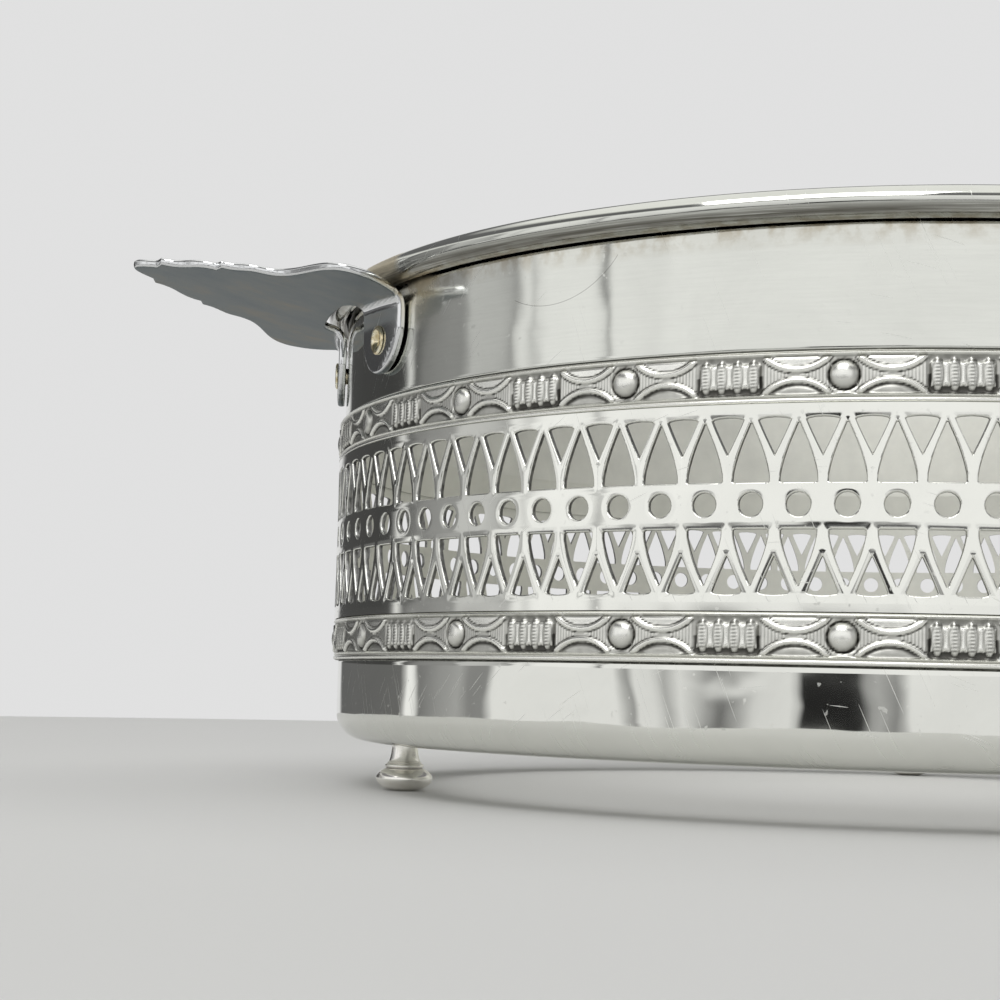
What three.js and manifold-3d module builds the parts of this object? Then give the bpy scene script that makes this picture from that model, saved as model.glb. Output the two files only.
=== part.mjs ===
// A round table holder for a casserole dish: a pressed sheet body with a pierced gallery,
// two riveted handles and three turned feet. Millimetres, +Z up, floor at z = 0,
// body axis on the Z axis, handles along X.
import * as THREE from "three";
import { mergeGeometries, mergeVertices } from "three/addons/utils/BufferGeometryUtils.js";
import Module from "manifold-3d";

const wasm = await Module();
wasm.setup();

// General
const CLEARANCE = 0.3; // gap between pieces that touch
const SIDES = 48; // flat sides round the body
const UNITS_PER_SIDE = 2; // units of the pierced pattern on each flat side
const MERGE_WITHIN = 1e-3; // points closer than this are one point
const CUT_MARGIN = 4; // how far a cutting solid runs past what it cuts

// Body sheet
const SHEET = 0.8;
const WALL_RADIUS = 102.6; // outside of the plain bands
const GALLERY_PROUD = 0.9; // how far the gallery stands out from the plain bands
const STRIP_PROUD = 1.1; // how far the ornament strips stand out from the plain bands
const CORNER_RADIUS = 5;

// Heights of the bands, from the flange's underside up
const LOWER_BAND_HEIGHT = 14.45;
const STRIP_HEIGHT = 7.4;
const GALLERY_HEIGHT = 29.15;
const UPPER_BAND_HEIGHT = 18.3;

// Rolled rim
const WIRE_DIAMETER = 2.4;
const WIRE_SIDES = 8;
const CURL_SWEEP = 285; // degrees that the sheet turns over the wire
const CURL_STEPS = 8;

// Pierced rows, as distances from the row of circles
const CIRCLE_RISE = 0.4; // row of circles above the gallery's middle
const CIRCLE_DIAMETER = 3.45;
const CIRCLE_SIDES = 6;
const UPPER_ARCH_START = 3.15;
const UPPER_ARCH_LENGTH = 8.45;
const UPPER_ARCH_WIDTH = 5.3;
const LOWER_ARCH_START = 3.55;
const LOWER_ARCH_LENGTH = 7.8;
const LOWER_ARCH_WIDTH = 5.1;
const ARCH_SHOULDER = 0.52; // where along its length an arch's side bends
const ARCH_SHOULDER_WIDTH = 0.66; // share of the arch's width left at that bend

// Handles
const HANDLE_THICKNESS = 1.4;
const HANDLE_TILT = 9.8; // degrees that the plate rises outwards
const HANDLE_REACH = 38.8; // from the rim's curl to the tip, along the plate
const SHOULDER_REACH = 6;
const SHOULDER_HALF_WIDTH = 35.5;
const WAIST_REACH = 18.4;
const WAIST_HALF_WIDTH = 19.8;
const LOBE_REACH = 25.1;
const LOBE_HALF_WIDTH = 16.6;
const LOBE_NOTCH = 2.6; // step in the outline behind the second lobe
const LEAF_REACH = 34.6;
const LEAF_HALF_WIDTH = 8;
const LEAF_NOTCH = 3.2; // step in the outline behind the pointed leaf
const NOTCH_RUN = 0.6;
const CUTOUT_REACH = 3.1; // from the rim's curl to the end of the opening between the ears
const CUTOUT_CORNER = 3.5;
const OUTLINE_STEPS = 6; // straight pieces in each curve of the outline

// Ears, bent down from the plate
const BEND_RADIUS = 1.5; // inside of the bend
const BEND_STEPS = 3;
const EAR_ANGLE = 11.25; // degrees from the handle's middle to an ear's middle
const EAR_WIDTH = 16;
const EAR_DROP = 12.6; // from the plate's underside to the ear's rounded end
const EAR_STEPS = 12;

// Rivets
const RIVET_DROP = 6.9; // rivet's axis below the plate's underside
const RIVET_SHANK = 3;
const RIVET_BORE = 1.7;
const RIVET_BORE_DEPTH = 3;
const RIVET_HEAD = 4.7;
const RIVET_HEAD_THICKNESS = 0.7;
const RIVET_DISH = 3.6; // width of the dished mouth
const RIVET_DISH_DEPTH = 0.5;
const RIVET_SIDES = 16;

// Feet
const FOOT_ANGLES = { left: 180, front_right: -60, back_right: 60 };
const FOOT_MARGIN = 3.6; // flat flange between the rounded corner and a foot screw's head
const FLANGE_MARGIN = 5; // flat flange between a foot screw's head and the inner edge
const FOOT_HEIGHT = 8.4; // floor to the flange's underside
const FOOT_REST = 2; // radius of the flat that touches the floor
const BALL_DIAMETER = 10;
const BALL_HEIGHT = 4.7; // of the whole flattened ball, before its rest is cut
const COLLAR_DIAMETER = 6.9;
const COLLAR_HEIGHT = 0.9;
const STEM_FOOT_DIAMETER = 5.3; // stem at the collar
const STEM_TOP_DIAMETER = 4.4; // stem at the flange
const BALL_STEPS = 6;
const FOOT_SIDES = 24;

// Screws that hold the feet
const SCREW_DIAMETER = 2.4;
const SCREW_GRIP = 4; // length of the screw inside the foot
const SCREW_HEAD = 5;
const SCREW_HEAD_HEIGHT = 1.3;
const SCREW_SLOT = 0.8;
const SCREW_SLOT_DEPTH = 0.6;
const SCREW_SIDES = 16;

// Places that follow from the sizes above
const flangeBottom = FOOT_HEIGHT;
const lowerStripBottom = flangeBottom + LOWER_BAND_HEIGHT;
const galleryBottom = lowerStripBottom + STRIP_HEIGHT;
const galleryTop = galleryBottom + GALLERY_HEIGHT;
const upperStripTop = galleryTop + STRIP_HEIGHT;
const curlInside = WIRE_DIAMETER / 2 + CLEARANCE;
const beadRadius = curlInside + SHEET;
const curlRadius = WALL_RADIUS + curlInside; // radius of the circle that the rim wire follows
const beadBottom = upperStripTop + UPPER_BAND_HEIGHT;
const curlHeight = beadBottom + beadRadius;
const cornerCentre = [WALL_RADIUS - CORNER_RADIUS, flangeBottom + CORNER_RADIUS];
const footCircle = WALL_RADIUS - CORNER_RADIUS - FOOT_MARGIN - SCREW_HEAD / 2;
const flangeInner = footCircle - SCREW_HEAD / 2 - FLANGE_MARGIN;
const screwHole = SCREW_DIAMETER / 2 + CLEARANCE;
const rivetHole = RIVET_SHANK / 2 + CLEARANCE;

const radians = (degrees) => (degrees * Math.PI) / 180;
const halfSide = Math.PI / SIDES; // half the angle that one flat side covers
const handleTilt = radians(HANDLE_TILT);
const plateRoot = beadBottom - CLEARANCE - HANDLE_THICKNESS; // plate's underside below the curl
const earInner = WALL_RADIUS + CLEARANCE;
const earOuter = earInner + HANDLE_THICKNESS;
const earBottom = plateRoot - EAR_DROP;
const rivetHeight = plateRoot - RIVET_DROP;

// A closed geometry as a solid that can be joined and cut.
function solidOf(geometry) {
  const bare = geometry.clone();
  bare.deleteAttribute("normal");
  bare.deleteAttribute("uv");
  const merged = mergeVertices(bare, MERGE_WITHIN);
  return new wasm.Manifold(
    new wasm.Mesh({
      numProp: 3,
      vertProperties: new Float32Array(merged.attributes.position.array),
      triVerts: new Uint32Array(merged.index.array),
    }),
  );
}

function geometryOf(solid) {
  const { vertProperties, triVerts } = solid.getMesh();
  const geometry = new THREE.BufferGeometry();
  geometry.setAttribute("position", new THREE.BufferAttribute(vertProperties, 3));
  geometry.setIndex(new THREE.BufferAttribute(triVerts, 1));
  geometry.computeVertexNormals();
  return geometry;
}

function meshOf(name, geometry, material) {
  const mesh = new THREE.Mesh(geometry, material);
  mesh.name = name;
  return mesh;
}

// Turns an outline of [radius, height] pairs round the Z axis. The outline runs anticlockwise
// as seen with the radius to the right, and starts and ends on the axis or closes on itself.
function turned(outline, sides) {
  const points = outline.map(([radius, height]) => new THREE.Vector2(radius, height));
  return new THREE.LatheGeometry(points, sides).rotateX(Math.PI / 2);
}

function closed(outline) {
  return [...outline, outline[0]];
}

// Points on an arc, in degrees, as [radius, height] pairs.
function arc(centreRadius, centreHeight, radius, from, to, steps) {
  return Array.from({ length: steps + 1 }, (_, i) => {
    const angle = radians(from + ((to - from) * i) / steps);
    return [
      centreRadius + radius * Math.cos(angle),
      centreHeight + radius * Math.sin(angle),
    ];
  });
}

// A flat shape pushed out along the radius at the given angle: its x runs round the body
// and its y upwards.
function radialPrism(shape, curveSegments, angle, innerRadius, outerRadius) {
  const geometry = new THREE.ExtrudeGeometry(shape, {
    depth: outerRadius - innerRadius,
    bevelEnabled: false,
    curveSegments,
  });
  geometry.translate(0, 0, innerRadius);
  geometry.rotateX(Math.PI / 2).rotateZ(Math.PI / 2); // depth to +X, shape's y to +Z
  return geometry.rotateZ(radians(angle));
}

function polygon(points) {
  return new THREE.Shape(points.map(([x, y]) => new THREE.Vector2(x, y)));
}

function circleShape(radius, sides, height) {
  return polygon(
    Array.from({ length: sides }, (_, i) => {
      const angle = (2 * Math.PI * (i + 0.5)) / sides;
      return [radius * Math.cos(angle), height + radius * Math.sin(angle)];
    }),
  );
}

// Tall arch of the gallery: a narrow triangle with swelling sides. It points up for a
// positive length and down for a negative one.
function archShape(base, length, width) {
  const bend = base + length * ARCH_SHOULDER;
  const half = width / 2;
  const bendHalf = half * ARCH_SHOULDER_WIDTH;
  const points = [
    [-half, base],
    [half, base],
    [bendHalf, bend],
    [0, base + length],
    [-bendHalf, bend],
  ];
  return polygon(length > 0 ? points : points.reverse());
}

const steel = new THREE.MeshStandardMaterial({ color: 0x9a9a98, roughness: 0.45, metalness: 1 });
const chrome = new THREE.MeshStandardMaterial({ color: 0xc9cccd, roughness: 0.12, metalness: 1 });
const brass = new THREE.MeshStandardMaterial({ color: 0xb89a62, roughness: 0.28, metalness: 1 });
const satin = new THREE.MeshStandardMaterial({ color: 0xc4c2ba, roughness: 0.34, metalness: 1 });

// The sheet's section from the flange's inner edge, up the outside of the wall, round the
// rolled rim and back down the inside.
function bodyOutline() {
  const curlEnd = 180 - CURL_SWEEP;
  const stripOuter = WALL_RADIUS + STRIP_PROUD;
  const galleryOuter = WALL_RADIUS + GALLERY_PROUD;
  return [
    [flangeInner, flangeBottom],
    ...arc(...cornerCentre, CORNER_RADIUS, -90, 0, 4),
    [WALL_RADIUS, lowerStripBottom],
    [stripOuter, lowerStripBottom],
    [stripOuter, galleryBottom],
    [galleryOuter, galleryBottom],
    [galleryOuter, galleryTop],
    [stripOuter, galleryTop],
    [stripOuter, upperStripTop],
    [WALL_RADIUS, upperStripTop],
    ...arc(curlRadius, curlHeight, curlInside, 180, curlEnd, CURL_STEPS - 2),
    ...arc(curlRadius, curlHeight, beadRadius, curlEnd, 180, CURL_STEPS),
    [WALL_RADIUS - SHEET, upperStripTop + SHEET],
    [galleryOuter - SHEET, upperStripTop - SHEET],
    [galleryOuter - SHEET, lowerStripBottom + SHEET],
    [WALL_RADIUS - SHEET, lowerStripBottom - SHEET],
    ...arc(...cornerCentre, CORNER_RADIUS - SHEET, 0, -90, 3),
    [flangeInner, flangeBottom + SHEET],
  ];
}

// Cutters for the pierced openings of one flat side, whose middle faces +X.
function gallerySlots() {
  const row = (galleryBottom + galleryTop) / 2 + CIRCLE_RISE;
  const shapes = [
    circleShape(CIRCLE_DIAMETER / 2, CIRCLE_SIDES, row),
    archShape(row + UPPER_ARCH_START, UPPER_ARCH_LENGTH, UPPER_ARCH_WIDTH),
    archShape(row - LOWER_ARCH_START, -LOWER_ARCH_LENGTH, LOWER_ARCH_WIDTH),
  ];
  const sideWidth = 2 * (WALL_RADIUS + GALLERY_PROUD) * Math.sin(halfSide);
  const inner = WALL_RADIUS - CUT_MARGIN;
  const outer = WALL_RADIUS + STRIP_PROUD + CUT_MARGIN;
  return Array.from({ length: UNITS_PER_SIDE }, (_, unit) => {
    const shift = ((unit + 0.5) / UNITS_PER_SIDE - 0.5) * sideWidth;
    return shapes.map((shape) =>
      solidOf(radialPrism(shape, 1, 0, inner, outer).translate(0, shift, 0)),
    );
  }).flat();
}

// One flat side of the body as a closed wedge: the outline pushed through from one mitre
// plane to the other, with the side's openings cut.
function bodyWedge() {
  const outline = bodyOutline().map(([radius, height]) => [radius * Math.cos(halfSide), height]);
  const wedge = new THREE.ExtrudeGeometry(polygon(outline), {
    depth: 1,
    bevelEnabled: false,
    curveSegments: 1,
  });
  const place = wedge.attributes.position;
  for (let i = 0; i < place.count; i++) {
    const across = place.getX(i) * Math.tan(halfSide);
    place.setXYZ(i, place.getX(i), place.getZ(i) > 0.5 ? -across : across, place.getY(i));
  }
  return solidOf(wedge).subtract(wasm.Manifold.union(gallerySlots()));
}

// The wedge's faces without those on its mitre planes, repeated round the axis. A corner on
// a mitre plane is placed by the seam it lies on, so that both sides of a seam share it.
function piercedShell() {
  const { vertProperties, triVerts } = bodyWedge().getMesh();
  const corners = Array.from({ length: vertProperties.length / 3 }, (_, i) => {
    const [x, y, z] = vertProperties.subarray(3 * i, 3 * i + 3);
    const inside = x * Math.tan(halfSide) - Math.abs(y);
    return { x, y, z, mitre: inside < MERGE_WITHIN ? Math.sign(y) : 0 };
  });
  const faces = [];
  for (let i = 0; i < triVerts.length; i += 3) {
    const face = [...triVerts.subarray(i, i + 3)];
    const mitres = face.map((corner) => corners[corner].mitre);
    if (Math.abs(mitres[0] + mitres[1] + mitres[2]) < 3) faces.push(...face);
  }
  const sides = Array.from({ length: SIDES }, (_, side) => {
    const points = corners.map(({ x, y, z, mitre }) => {
      const seam = (side + (mitre + 1) / 2) % SIDES;
      const angle = mitre ? 2 * seam * halfSide : (2 * side + 1) * halfSide + Math.atan2(y, x);
      const radius = mitre ? x / Math.cos(halfSide) : Math.hypot(x, y);
      return new THREE.Vector3(radius * Math.cos(angle), radius * Math.sin(angle), z);
    });
    return new THREE.BufferGeometry().setFromPoints(points).setIndex(faces);
  });
  return solidOf(mergeGeometries(sides));
}

const handleAngles = { left: 180, right: 0 };
const rivetSites = Object.entries(handleAngles).flatMap(([side, angle]) =>
  ["front", "back"].map((end) => {
    const ahead = (side === "left") === (end === "front");
    return { name: `rivet_${side}_${end}`, angle: angle + (ahead ? EAR_ANGLE : -EAR_ANGLE) };
  }),
);

function rivetHoleCutter(angle) {
  const shape = circleShape(rivetHole, RIVET_SIDES, rivetHeight);
  return solidOf(
    radialPrism(shape, 1, angle, WALL_RADIUS - CUT_MARGIN, earOuter + CUT_MARGIN),
  );
}

function screwHoleCutter(angle) {
  const length = SHEET + 2 * CUT_MARGIN;
  const cutter = new THREE.CylinderGeometry(screwHole, screwHole, length, SCREW_SIDES);
  cutter.rotateX(Math.PI / 2).translate(footCircle, 0, flangeBottom);
  return solidOf(cutter.rotateZ(radians(angle)));
}

function makeBody() {
  const cutters = [
    ...rivetSites.map(({ angle }) => rivetHoleCutter(angle)),
    ...Object.values(FOOT_ANGLES).map(screwHoleCutter),
  ];
  return geometryOf(piercedShell().subtract(wasm.Manifold.union(cutters)));
}

function makeRimWire() {
  const section = arc(curlRadius, curlHeight, WIRE_DIAMETER / 2, 0, 360, WIRE_SIDES);
  return turned([...section.slice(0, -1), section[0]], SIDES);
}

// A smooth step between two corners of an outline that leaves and arrives along x.
function swell([x0, y0], [x1, y1]) {
  const middle = (x0 + x1) / 2;
  const corners = [[x0, y0], [middle, y0], [middle, y1], [x1, y1]];
  const curve = new THREE.CubicBezierCurve(...corners.map(([x, y]) => new THREE.Vector2(x, y)));
  return curve.getPoints(OUTLINE_STEPS).map(({ x, y }) => [x, y]);
}

// A rounded corner from one point to another round a third.
function rounded([x0, y0], [cornerX, cornerY], [x1, y1]) {
  const curve = new THREE.QuadraticBezierCurve(
    new THREE.Vector2(x0, y0),
    new THREE.Vector2(cornerX, cornerY),
    new THREE.Vector2(x1, y1),
  );
  return curve.getPoints(OUTLINE_STEPS - 2).map(({ x, y }) => [x, y]);
}

// Plan of a handle that points along +X, seen from above. Its root runs on into the wall as
// the two ears' sides, and it is open between the ears.
function handlePlan() {
  const atReach = (reach, y) => [curlRadius + reach * Math.cos(handleTilt), y];
  const onEar = (aside, radius) => {
    const angle = radians(EAR_ANGLE);
    return [
      radius * Math.cos(angle) - aside * Math.sin(angle),
      radius * Math.sin(angle) + aside * Math.cos(angle),
    ];
  };
  const rootInside = WALL_RADIUS - CUT_MARGIN;
  const innerSide = onEar(-EAR_WIDTH / 2, earOuter);
  const outerSide = onEar(EAR_WIDTH / 2, earOuter);
  const cutoutRadius = atReach(CUTOUT_REACH, 0)[0];
  const cutoutEdge = (y) => [Math.sqrt(cutoutRadius ** 2 - y ** 2), y];
  const notch = ([x, y], step) => [x + NOTCH_RUN, y - step];
  const shoulder = atReach(SHOULDER_REACH, SHOULDER_HALF_WIDTH);
  const waist = atReach(WAIST_REACH, WAIST_HALF_WIDTH);
  const lobe = atReach(LOBE_REACH, LOBE_HALF_WIDTH);
  const leaf = atReach(LEAF_REACH, LEAF_HALF_WIDTH);
  const leafBase = notch(leaf, LEAF_NOTCH);
  const tip = atReach(HANDLE_REACH, 0);
  const half = [
    ...rounded(
      cutoutEdge(innerSide[1] - CUTOUT_CORNER),
      cutoutEdge(innerSide[1]),
      innerSide,
    ),
    onEar(-EAR_WIDTH / 2, rootInside),
    onEar(EAR_WIDTH / 2, rootInside),
    ...rounded(outerSide, [(outerSide[0] + shoulder[0]) / 2, shoulder[1]], shoulder),
    ...swell(shoulder, waist).slice(1),
    ...swell(waist, lobe).slice(1),
    ...swell(notch(lobe, LOBE_NOTCH), leaf),
    ...rounded(leafBase, [tip[0], leafBase[1] / 2], tip),
  ];
  const mirrored = half.slice(0, -1).reverse().map(([x, y]) => [x, -y]);
  return [...half, ...mirrored, cutoutEdge(0)];
}

// Sheet that hangs against the wall, bends and runs outwards, turned round the axis and
// then sloped so that its flat part rises along +X.
function bentSheet() {
  const plateEnd = curlRadius + HANDLE_REACH + CUT_MARGIN;
  const bend = [earOuter + BEND_RADIUS, plateRoot - BEND_RADIUS];
  const sheet = turned(
    closed([
      [earInner, earBottom - CUT_MARGIN],
      [earOuter, earBottom - CUT_MARGIN],
      ...arc(...bend, BEND_RADIUS, 180, 90, BEND_STEPS),
      [plateEnd, plateRoot],
      [plateEnd, plateRoot + HANDLE_THICKNESS],
      ...arc(...bend, BEND_RADIUS + HANDLE_THICKNESS, 90, 180, BEND_STEPS),
    ]),
    SIDES,
  );
  const place = sheet.attributes.position;
  for (let i = 0; i < place.count; i++) {
    const rise = (place.getX(i) - curlRadius) * Math.tan(handleTilt);
    place.setZ(i, place.getZ(i) + rise);
  }
  return sheet;
}

// What is cut from below an ear so that it ends in a half round.
function earEndCutter(angle) {
  const half = EAR_WIDTH / 2;
  const side = half + CUT_MARGIN;
  const below = earBottom - 2 * CUT_MARGIN;
  const shape = new THREE.Shape();
  shape.moveTo(-side, earBottom + half);
  shape.absarc(0, earBottom + half, half, Math.PI, 2 * Math.PI);
  shape.lineTo(side, earBottom + half);
  shape.lineTo(side, below);
  shape.lineTo(-side, below);
  return solidOf(
    radialPrism(shape, EAR_STEPS, angle, earInner - CUT_MARGIN, earOuter + CUT_MARGIN),
  );
}

// A handle that points along +X.
function makeHandle() {
  const plan = new THREE.ExtrudeGeometry(polygon(handlePlan()), {
    depth: 2 * beadBottom,
    bevelEnabled: false,
  });
  const cutters = [EAR_ANGLE, -EAR_ANGLE].flatMap((angle) => [
    earEndCutter(angle),
    rivetHoleCutter(angle),
  ]);
  const blank = solidOf(bentSheet()).intersect(solidOf(plan));
  return geometryOf(blank.subtract(wasm.Manifold.union(cutters)));
}

// A tubular rivet along +X, from its head inside the wall to its dished head on the ear.
function makeRivet() {
  const wallInside = (WALL_RADIUS - SHEET) * Math.cos(halfSide);
  const innerSeat = wallInside - CLEARANCE;
  const outerSeat = earOuter + CLEARANCE;
  const face = outerSeat + RIVET_HEAD_THICKNESS;
  const head = RIVET_HEAD / 2;
  const edge = RIVET_HEAD_THICKNESS / 2; // rounding of the heads' rims
  return turned(
    [
      [0, innerSeat - RIVET_HEAD_THICKNESS],
      [head - edge, innerSeat - RIVET_HEAD_THICKNESS],
      [head, innerSeat - edge],
      [head, innerSeat],
      [RIVET_SHANK / 2, innerSeat],
      [RIVET_SHANK / 2, outerSeat],
      [head, outerSeat],
      [head, face - edge],
      [head - edge / 2, face],
      [RIVET_DISH / 2, face],
      [RIVET_BORE / 2, face - RIVET_DISH_DEPTH],
      [RIVET_BORE / 2, face - RIVET_BORE_DEPTH],
      [0, face - RIVET_BORE_DEPTH],
    ],
    RIVET_SIDES,
  ).rotateY(Math.PI / 2);
}

// A turned foot that stands on the origin.
function makeFoot() {
  const ballRadius = BALL_DIAMETER / 2;
  const ballHalfHeight = BALL_HEIGHT / 2;
  const restAngle = Math.acos(FOOT_REST / ballRadius);
  const collarAngle = Math.acos(COLLAR_DIAMETER / BALL_DIAMETER);
  const ballMiddle = ballHalfHeight * Math.sin(restAngle);
  const ball = Array.from({ length: BALL_STEPS + 1 }, (_, i) => {
    const angle = -restAngle + ((restAngle + collarAngle) * i) / BALL_STEPS;
    return [ballRadius * Math.cos(angle), ballMiddle + ballHalfHeight * Math.sin(angle)];
  });
  const collarTop = ball[BALL_STEPS][1] + COLLAR_HEIGHT;
  const stemTop = FOOT_HEIGHT - CLEARANCE;
  const holeBottom = FOOT_HEIGHT - SCREW_GRIP - 2 * CLEARANCE;
  return turned(
    [
      [0, 0],
      ...ball,
      [COLLAR_DIAMETER / 2, collarTop],
      [STEM_FOOT_DIAMETER / 2, collarTop],
      [STEM_TOP_DIAMETER / 2, stemTop],
      [screwHole, stemTop],
      [screwHole, holeBottom],
      [0, holeBottom],
    ],
    FOOT_SIDES,
  );
}

// A slotted screw whose head rests on top of the flange, with its axis on the Z axis.
function makeScrew() {
  const seat = FOOT_HEIGHT + SHEET + CLEARANCE;
  const top = seat + SCREW_HEAD_HEIGHT;
  const head = SCREW_HEAD / 2;
  const crown = SCREW_HEAD_HEIGHT / 3; // height of the head's rounded edge
  const blank = turned(
    [
      [0, FOOT_HEIGHT - SCREW_GRIP],
      [SCREW_DIAMETER / 2, FOOT_HEIGHT - SCREW_GRIP],
      [SCREW_DIAMETER / 2, seat],
      [head, seat],
      [head, top - crown],
      [head - crown, top],
      [0, top],
    ],
    SCREW_SIDES,
  );
  const slot = new THREE.BoxGeometry(
    SCREW_HEAD + CUT_MARGIN,
    SCREW_SLOT,
    2 * SCREW_SLOT_DEPTH,
  ).translate(0, 0, top);
  return geometryOf(solidOf(blank).subtract(solidOf(slot)));
}

const holder = new THREE.Group();
holder.add(meshOf("body_shell", makeBody(), chrome), meshOf("rim_wire", makeRimWire(), steel));

for (const [side, angle] of Object.entries(handleAngles)) {
  const handle = meshOf(`handle_${side}`, makeHandle(), chrome);
  handle.rotation.z = radians(angle);
  holder.add(handle);
}

for (const { name, angle } of rivetSites) {
  const rivet = meshOf(name, makeRivet(), brass);
  rivet.position.z = rivetHeight;
  rivet.rotation.z = radians(angle);
  holder.add(rivet);
}

for (const [place, angle] of Object.entries(FOOT_ANGLES)) {
  const stand = new THREE.Group();
  stand.position.set(
    footCircle * Math.cos(radians(angle)),
    footCircle * Math.sin(radians(angle)),
    0,
  );
  stand.add(meshOf(`foot_${place}`, makeFoot(), satin));
  stand.add(meshOf(`foot_screw_${place}`, makeScrew(), steel));
  holder.add(stand);
}

export default holder;
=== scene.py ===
# %% [markdown]
# # A chromed holder for a casserole dish
#
# The real object is a round table stand of pressed sheet metal. A plain upper band with a
# rolled rim, a stamped ornament strip, a pierced gallery, a second strip and a plain lower
# band make up its wall. Two cast-looking handles are riveted to it and three turned feet
# carry it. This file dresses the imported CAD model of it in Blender: the CAD solids stay the
# measure of where everything is, and each visible piece gets a finer shape and a finish.
# The cells are meant to be read in order, and each one prints what it made.

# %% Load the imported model
import math

import bmesh
import bpy
import numpy
from mathutils import Matrix, Vector


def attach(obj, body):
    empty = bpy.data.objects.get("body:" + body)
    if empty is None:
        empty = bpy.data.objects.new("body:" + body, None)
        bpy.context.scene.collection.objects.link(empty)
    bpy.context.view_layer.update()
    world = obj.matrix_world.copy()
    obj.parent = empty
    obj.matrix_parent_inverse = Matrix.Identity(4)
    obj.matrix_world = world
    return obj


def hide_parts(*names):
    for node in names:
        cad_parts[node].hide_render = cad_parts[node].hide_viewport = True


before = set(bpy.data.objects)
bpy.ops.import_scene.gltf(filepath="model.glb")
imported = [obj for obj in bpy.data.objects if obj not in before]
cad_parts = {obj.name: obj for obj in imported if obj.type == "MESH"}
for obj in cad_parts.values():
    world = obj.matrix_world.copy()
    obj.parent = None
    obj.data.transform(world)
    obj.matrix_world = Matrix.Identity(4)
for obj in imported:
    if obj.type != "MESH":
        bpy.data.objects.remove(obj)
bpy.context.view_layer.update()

MM = 0.001  # the pieces are drawn in millimetres and scaled to metres when they are finished
scene = bpy.context.scene
scene.view_settings.view_transform = "Standard"
print("CAD nodes:", ", ".join(sorted(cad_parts)))

# %% [markdown]
# ## The camera
#
# The photograph was taken from just above the table, a little below the holder's gallery,
# with the axis of the holder to the right of the middle. A camera can be aimed by hand, but
# here its heading, its lift and its small roll were measured from the picture, so they are
# turned into three directions, and those are the columns of the camera's own frame.

# %% Camera
CAMERA_PLACE = Vector((-0.15892, -0.33125, 0.01963))
CAMERA_HEADING = math.radians(75.82)
CAMERA_LIFT = math.radians(5.48)
CAMERA_ROLL = math.radians(1.39)

ahead = Vector((
    math.cos(CAMERA_HEADING) * math.cos(CAMERA_LIFT),
    math.sin(CAMERA_HEADING) * math.cos(CAMERA_LIFT),
    math.sin(CAMERA_LIFT),
))
level_right = ahead.cross(Vector((0, 0, 1))).normalized()
level_up = level_right.cross(ahead)
camera_right = level_right * math.cos(CAMERA_ROLL) + level_up * math.sin(CAMERA_ROLL)
camera_up = level_up * math.cos(CAMERA_ROLL) - level_right * math.sin(CAMERA_ROLL)

camera = bpy.data.objects.new("camera", bpy.data.cameras.new("camera"))
camera.data.lens = 68.0
camera.data.sensor_width = 36.0
camera.data.clip_start = 0.01
turn = Matrix((camera_right, camera_up, -ahead)).transposed().to_4x4()
camera.matrix_world = Matrix.Translation(CAMERA_PLACE) @ turn
scene.collection.objects.link(camera)
scene.camera = camera
print("camera at", [round(value, 3) for value in CAMERA_PLACE])

# %% [markdown]
# ## Helpers for shapes
#
# Nearly all of the holder was made on a lathe or in round dies, so the main helper turns an
# outline round the upright axis. A screw modifier would do the same, but the spin operator
# leaves a plain mesh at once, whose seam can be merged and whose normals can be set outwards.
# The strips and the gallery are one unit many times over, and spin repeats that as well.

# %% Shape helpers
FULL_TURN = 2 * math.pi
MERGE_WITHIN = 1e-4  # corners as close as this, in millimetres, become one
MERGE_UNITS_WITHIN = 2e-3


def clamped(value, most=1.0):
    """A value that is kept from 0 to the most."""
    return min(max(value, 0.0), most)


def arc(centre_radius, centre_height, radius, start, end, steps, rise=None):
    """Points of an arc in the plane of radius and height, with its angles in degrees. An
    oval arc has its half height as rise."""
    points = []
    for i in range(steps + 1):
        angle = math.radians(start + (end - start) * i / steps)
        points.append((
            centre_radius + radius * math.cos(angle),
            centre_height + (rise or radius) * math.sin(angle),
        ))
    return points


def everything(bm):
    """All corners, edges and faces, as the operators take them."""
    return bm.verts[:] + bm.edges[:] + bm.faces[:]


def close_skin(bm):
    """Merges the corners that meet at a seam or a pole, and turns every face outwards."""
    bmesh.ops.remove_doubles(bm, verts=bm.verts, dist=MERGE_WITHIN)
    bmesh.ops.recalc_face_normals(bm, faces=bm.faces)


def spun(outline, steps, on_axis=False):
    """An outline of (radius, height) pairs, turned round the Z axis into a closed skin."""
    bm = bmesh.new()
    corners = [bm.verts.new((radius, 0, height)) for radius, height in outline]
    ends = corners[1:] if on_axis else corners[1:] + corners[:1]
    edges = [bm.edges.new(pair) for pair in zip(corners, ends)]
    bmesh.ops.spin(
        bm, geom=corners + edges, cent=(0, 0, 0), axis=(0, 0, 1), dvec=(0, 0, 0),
        angle=FULL_TURN, steps=steps, use_merge=True,
    )
    close_skin(bm)
    return bm


def repeat_round(bm, units):
    """Fills the ring with turned copies of one unit, and merges the seams between them."""
    bmesh.ops.spin(
        bm, geom=everything(bm), cent=(0, 0, 0), axis=(0, 0, 1), dvec=(0, 0, 0),
        angle=FULL_TURN * (units - 1) / units, steps=units - 1, use_duplicate=True,
    )
    bmesh.ops.remove_doubles(bm, verts=bm.verts, dist=MERGE_UNITS_WITHIN)


def turn_all(bm, angle, axis):
    """Turns a whole mesh about an axis through the origin."""
    bmesh.ops.rotate(bm, cent=(0, 0, 0), matrix=Matrix.Rotation(angle, 3, axis), verts=bm.verts)


print("corners merge within", MERGE_WITHIN, "mm")

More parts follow.
